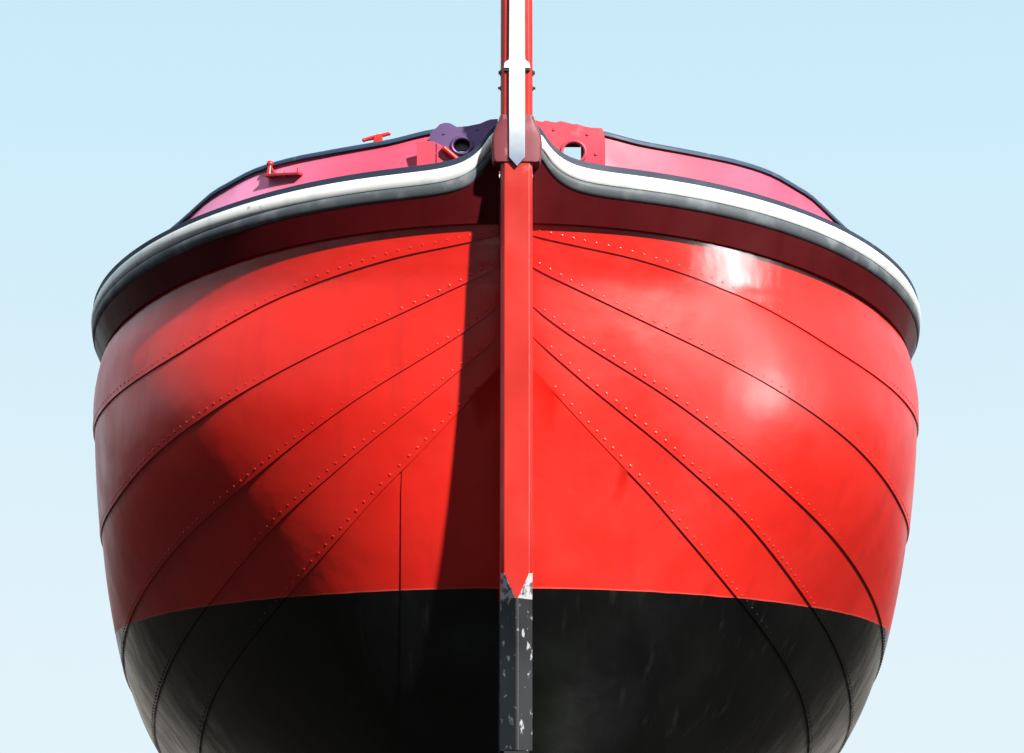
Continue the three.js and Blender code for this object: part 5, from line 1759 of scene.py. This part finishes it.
# Inner and outer face of the side boards and of the aft board, and their foot and top over the deck
COAMING_SIDES = (1.102, 1.128)
COAMING_AFT = (3.304, 3.33)
COAMING_UP = (-0.012, 0.09)
COAMING_PLACES = (1.3, 1.6, 2.0, 2.4, 2.8, 3.1, 3.33)
COAMING_STEPS = 6


def board_ring(faces):
    """Corners of a board across its thickness, and up from the deck."""
    (inner, outer), (foot, top) = faces, COAMING_UP
    return (inner, foot), (outer, foot), (outer, top), (inner, top)


def make_well_coaming():
    """Varnished boards that stand on the deck round the open well."""
    bm = bmesh.new()
    inner, outer = COAMING_SIDES
    for side in (1, -1):
        rings = []
        for y in COAMING_PLACES:
            z = deck_height((inner + outer) / 2, y)
            rings.append([(side * x, y, z + up) for x, up in board_ring(COAMING_SIDES)])
        add_copy(bm, lofted(rings))
    rings = []
    for step in range(-COAMING_STEPS, COAMING_STEPS + 1):
        x = step / COAMING_STEPS * outer
        z = deck_height(x, 3.316)
        rings.append([(x, y, z + up) for y, up in board_ring(COAMING_AFT)])
    add_copy(bm, lofted(rings))
    make_piece("well_coaming", bm, [TIMBER], "varnished_wood", bevel=0.004)


# Solid, place across and along, half the posts' distance and their height
BITTS = (
    ("bitts_fore", 0, -4.45, 0.13, 0.33), ("bollard_port", 0.9, 3.85, 0.09, 0.23),
    ("bollard_starboard", -0.9, 3.85, 0.09, 0.23),
)
CROSS_BAR_SHARE = 0.62


def post_profile(height):
    """A post's radii and heights: flange, stem and rounded head."""
    return (
        (0, -0.02), (0.062, -0.02), (0.062, 0.02), (0.047, 0.035), (0.043, 0.06), (0.043, height - 0.05),
        (0.052, height - 0.036), (0.055, height - 0.02), (0.048, height - 0.006), (0.03, height), (0, height),
    )


def make_bitts():
    """Pairs of posts with a cross bar on a bolted foot plate."""
    for name, x, y, spread, height in BITTS:
        low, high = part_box(name)
        deck = high[2] - height
        bar_z = deck + height * CROSS_BAR_SHARE
        bm = bmesh.new()
        add_block(bm, (x - spread - 0.11, y - 0.09, low[2]), (x + spread + 0.11, y + 0.09, deck + 0.014))
        for side in (1, -1):
            add_copy(bm, turned(post_profile(height), (x + side * spread, y, deck), 28))
            add_ball(bm, (x + side * (spread + 0.125), y, bar_z), 0.031)
            for along in (-0.065, 0.065):
                spot = Vector((x + side * (spread + 0.085), y + along, deck + 0.013))
                add_bar(bm, spot, spot + Vector((0, 0, 0.009)), 0.011, sides=6)
        reach = spread + 0.13
        add_bar(bm, (x - reach, y, bar_z), (x + reach, y, bar_z), 0.025, sides=20)
        make_piece(name + "_posts", bm, [FITTING_BLACK], "black_paint", stands_for=[name], bevel=0.003)


VENTILATOR_AT = (0.7, -2.35)
VENTILATOR_HEIGHT = 0.28
VENTILATOR_PROFILE = (
    (0, -0.02), (0.09, -0.02), (0.09, 0.012), (0.068, 0.018), (0.061, 0.035), (0.06, 0.196), (0.11, 0.196),
    (0.1148, 0.201), (0.1148, 0.214), (0.108, 0.236), (0.085, 0.26), (0.05, 0.275), (0.02, VENTILATOR_HEIGHT),
    (0, VENTILATOR_HEIGHT),
)
KNOB_PROFILE = ((0, 0), (0.012, 0), (0.012, 0.006), (0, 0.008))
VENTILATOR_RINGS = (0.06, 0.15)


def make_ventilators():
    """Mushroom ventilators with two rings round the pipe."""
    x, y = VENTILATOR_AT
    for name, side in SIDES:
        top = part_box("ventilator_" + name)[1][2]
        foot = (side * x, y, top - VENTILATOR_HEIGHT)
        bm = turned(VENTILATOR_PROFILE, foot, 36)
        add_copy(bm, turned(KNOB_PROFILE, (side * x, y, top - 0.003), 10))
        for z in VENTILATOR_RINGS:
            ring = ((0.059, z), (0.066, z + 0.002), (0.066, z + 0.01), (0.059, z + 0.012))
            add_copy(bm, turned(ring, foot, 36))
        solid = "ventilator_" + name
        make_piece("mushroom_vent_" + name, bm, [CREAM], "cream_paint", stands_for=[solid], bevel=0.002)


EXHAUST_AT = (0, 0.7, 0)
EXHAUST_PROFILE = (
    (0, 3.812), (0.1, 3.812), (0.1, 3.822), (0.08, 3.828), (0.075, 3.84), (0.075, 4.188), (0.084, 4.194),
    (0.084, 4.246), (0.08, 4.252), (0.068, 4.252), (0.065, 4.246), (0.065, 3.98), (0, 3.98),
)
EXHAUST_BANDS = (3.92, 4.09)


def make_exhaust():
    """The exhaust pipe with two bands and two stays."""
    bm = turned(EXHAUST_PROFILE, EXHAUST_AT)
    for z in EXHAUST_BANDS:
        band = ((0.074, z), (0.08, z), (0.08, z + 0.022), (0.074, z + 0.022))
        add_copy(bm, turned(band, EXHAUST_AT))
    for side in (1, -1):
        add_bar(bm, (side * 0.076, EXHAUST_AT[1], 4.1), (side * 0.22, 0.82, 3.805), 0.007, sides=8)
    make_piece("exhaust_pipe", bm, [FITTING_BLACK], "black_paint", stands_for=["exhaust"], bevel=0.002)


SCREW_AT = Vector((0, 5.01, 0.62))
BLADE_ROOT = 0.045
BLADE_TIP = 0.3295
BLADES = 3
BLADE_STEPS = 14
BLADE_CORNERS = 20
BLADE_WIDTH = 0.2
BLADE_PITCH = 0.5
BLADE_THICK = (0.017, 0.004)
# The blade's tip is rounded off from this share of its length, by this much
TIP_FROM = 0.72
TIP_ROUND = 0.82
HUB_PROFILE = (
    (0, -0.08), (0.05, -0.08), (0.062, -0.07), (0.069, -0.04), (0.07, 0.03), (0.062, 0.055), (0.04, 0.076),
    (0.016, 0.088), (0, 0.09),
)


def blade_ring(t):
    """A blade's section at a share of its length, laid round the shaft at its pitch."""
    radius = mix(BLADE_ROOT, BLADE_TIP, t)
    rounding = 1 - held((t - TIP_FROM) / (1 - TIP_FROM)) ** 2.4 * TIP_ROUND
    chord = BLADE_WIDTH * sin(pi * (0.2 + 0.62 * t)) * rounding
    pitch = atan2(BLADE_PITCH, 2 * pi * radius)
    thick = mix(*BLADE_THICK, t)
    ring = []
    for corner in range(BLADE_CORNERS):
        angle = 2 * pi * corner / BLADE_CORNERS
        u, v = cos(angle) * chord / 2, sin(angle) * thick
        across, along = u * cos(pitch) - v * sin(pitch), u * sin(pitch) + v * cos(pitch)
        ring.append((radius * sin(across / radius), along * 0.8, radius * cos(across / radius)))
    return ring


def make_propeller():
    """Three blades of true pitch on a faired hub."""
    place = Matrix.Translation(SCREW_AT)
    bm = bmesh.new()
    for number in range(BLADES):
        rings = [blade_ring(step / BLADE_STEPS) for step in range(BLADE_STEPS + 1)]
        add_copy(bm, lofted(rings), place @ Matrix.Rotation(number * 2 * pi / BLADES, 4, "Y"))
    add_copy(bm, turned(HUB_PROFILE, (0, 0, 0), 36), place @ Matrix.Rotation(-pi / 2, 4, "X"))
    make_piece("screw_blades", bm, [BRONZE], "bronze", body="screw", stands_for=["propeller"], crease=45)


# Level and aft end of the straps that hold the rudder
GUDGEON_LEVELS = ((0.42, 5.8), (1.35, 5.8), (2.4, 5.64))
STRAP_FORE = 5.5
# The rudder straps' rise over the level, half-thickness and half-height, and their bolts
GUDGEON_UP = 0.09
GUDGEON_HALVES = (0.031, 0.028)
GUDGEON_BOLTS = (0.3, 0.6, 0.9)
GUDGEON_BOLT_SEAT = 0.03
GUDGEON_BOLT_HEAD = 0.006
GUDGEON_BOLT_RADII = (0.012, 0.008)
TILLER_ENDS = (5.6, 3.36)
TILLER_Z = 3.012
TILLER_STEPS = 16
TILLER_RISE = 0.06
TILLER_SWEEP = 0.012
TILLER_RADIUS = 0.033
TILLER_TAPER = 0.013
TAPER_STEPS = 14
# Radii at the tiller's end: its neck, the swell of the grip and the tip
GRIP_RADII = (0.021, 0.024, 0.015)
# The yoke's two blocks, and the ends and radii of its cross bolt and its cap
YOKE_BLOCKS = (
    ((-0.06, 5.42, 2.9434), (0.06, 5.54, 3.053)),
    ((-0.045, 5.38, 2.965), (0.045, 5.62, 3.05)),
)
YOKE_BARS = (
    ((-0.066, 5.45, 3.01), (0.066, 5.45, 3.01), 0.012, 0.012),
    ((0, 5.48, 3.04), (0, 5.48, 3.066), 0.03, 0.024),
)


def make_steering():
    """Straps on the rudder, the timber tiller and the bronze yoke that holds it."""
    straps = bmesh.new()
    thick, tall = GUDGEON_HALVES
    for level, end in GUDGEON_LEVELS:
        z = level + GUDGEON_UP
        add_block(straps, (-thick, STRAP_FORE, z - tall), (thick, end, z + tall))
        for side in (1, -1):
            for t in GUDGEON_BOLTS:
                spot = Vector((side * GUDGEON_BOLT_SEAT, mix(STRAP_FORE, end, t), z))
                head = spot + Vector((side * GUDGEON_BOLT_HEAD, 0, 0))
                add_bar(straps, spot, head, *GUDGEON_BOLT_RADII, 10)
    make_piece("rudder_straps", straps, [FITTING_BLACK], "black_paint", body="steering", bevel=0.003)
    path = []
    for step in range(TILLER_STEPS + 1):
        t = step / TILLER_STEPS
        path.append((0, mix(*TILLER_ENDS, t), TILLER_Z + TILLER_RISE * t + TILLER_SWEEP * sin(2 * pi * t)))
    radii = [TILLER_RADIUS - TILLER_TAPER * i / TAPER_STEPS for i in range(TAPER_STEPS)] + [*GRIP_RADII]
    make_piece(
        "tiller_arm", bent_bar(path, radii, 20), [TIMBER], "varnished_wood", body="steering",
        stands_for=["tiller"], crease=50, bevel=0.002,
    )
    yoke = bmesh.new()
    for low, high in YOKE_BLOCKS:
        add_block(yoke, low, high)
    for start, end, radius, tip in YOKE_BARS:
        add_bar(yoke, start, end, radius, tip, 6)
    make_piece("tiller_yoke", yoke, [BRONZE], "bronze", body="steering", bevel=0.004)


STAY_STATIONS = (2.2, STATIONS - 2)
STAY_PITCH = 0.85
STAY_THICK = 0.03
STAY_FOOT = -DECK_DROP + 0.004


def stay(station):
    """Outline of a knee between the bulwark's plate and the deck."""
    top, lean = bulwark_at(station)
    inner, foot = lean - BULWARK_THICK, STAY_FOOT
    return (
        (BULWARK_IN - BULWARK_THICK - 0.001, foot), (inner - 0.001, top - 0.006),
        (inner - 0.012, top - 0.006), (-0.13, foot + 0.004),
    )


def make_bulwark_stays():
    """Small knees that hold the bulwark's plate to the deck."""
    bm = bmesh.new()
    for side in (1, -1):
        station, last = STAY_STATIONS
        while station < last:
            add_copy(bm, moulding(side, stay, [station, station + STAY_THICK]))
            station += STAY_PITCH
    make_piece("bulwark_stays", bm, [RED], "red_paint", bevel=0.0015)


make_plating()
make_fenders()
make_bulwarks()
make_stem()
make_casing()
make_strap()
make_hawse_boards()
make_rail_fittings()
make_rivets()
make_window_frames()
make_roof()
make_cabin_trim()
make_door()
make_lid("hatch_lid", "fore_hatch_lid", "hatch", (-3.655, -3.5), -3.05)
make_lid("engine_lid_plate", "engine_lid", "engine_cover", (3.008, 2.86), 2.12)
make_engine()
make_casing_louvres()
make_benches()
make_gratings()
make_well_coaming()
make_bitts()
make_ventilators()
make_exhaust()
make_propeller()
make_steering()
make_bulwark_stays()

# Finishes of the solids that show as they are
NODE_FINISHES = (
    (FITTING_BLACK, ("keel", "bilge_keel_port", "bilge_keel_starboard")),
    (HULL_PAINT, ("sternpost", "rudder")),
    (NON_SKID, ("deck_fore", "deck_aft", "deck_side_port", "deck_side_starboard")),
    (CREAM, ("cabin_front", "cabin_side_port", "cabin_side_starboard", "cabin_back")),
    (CREAM, ("fore_hatch_coaming", "engine_casing")),
    (GLASS, ("glass_front_port", "glass_front_starboard", "glass_fore_port", "glass_fore_starboard")),
    (GLASS, ("glass_aft_port", "glass_aft_starboard")),
    (ZINC, ("propeller_shaft", "roof_rail_port", "roof_rail_starboard")),
)
for finish, names in NODE_FINISHES:
    for name in names:
        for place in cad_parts[name].material_slots:
            place.material = finish
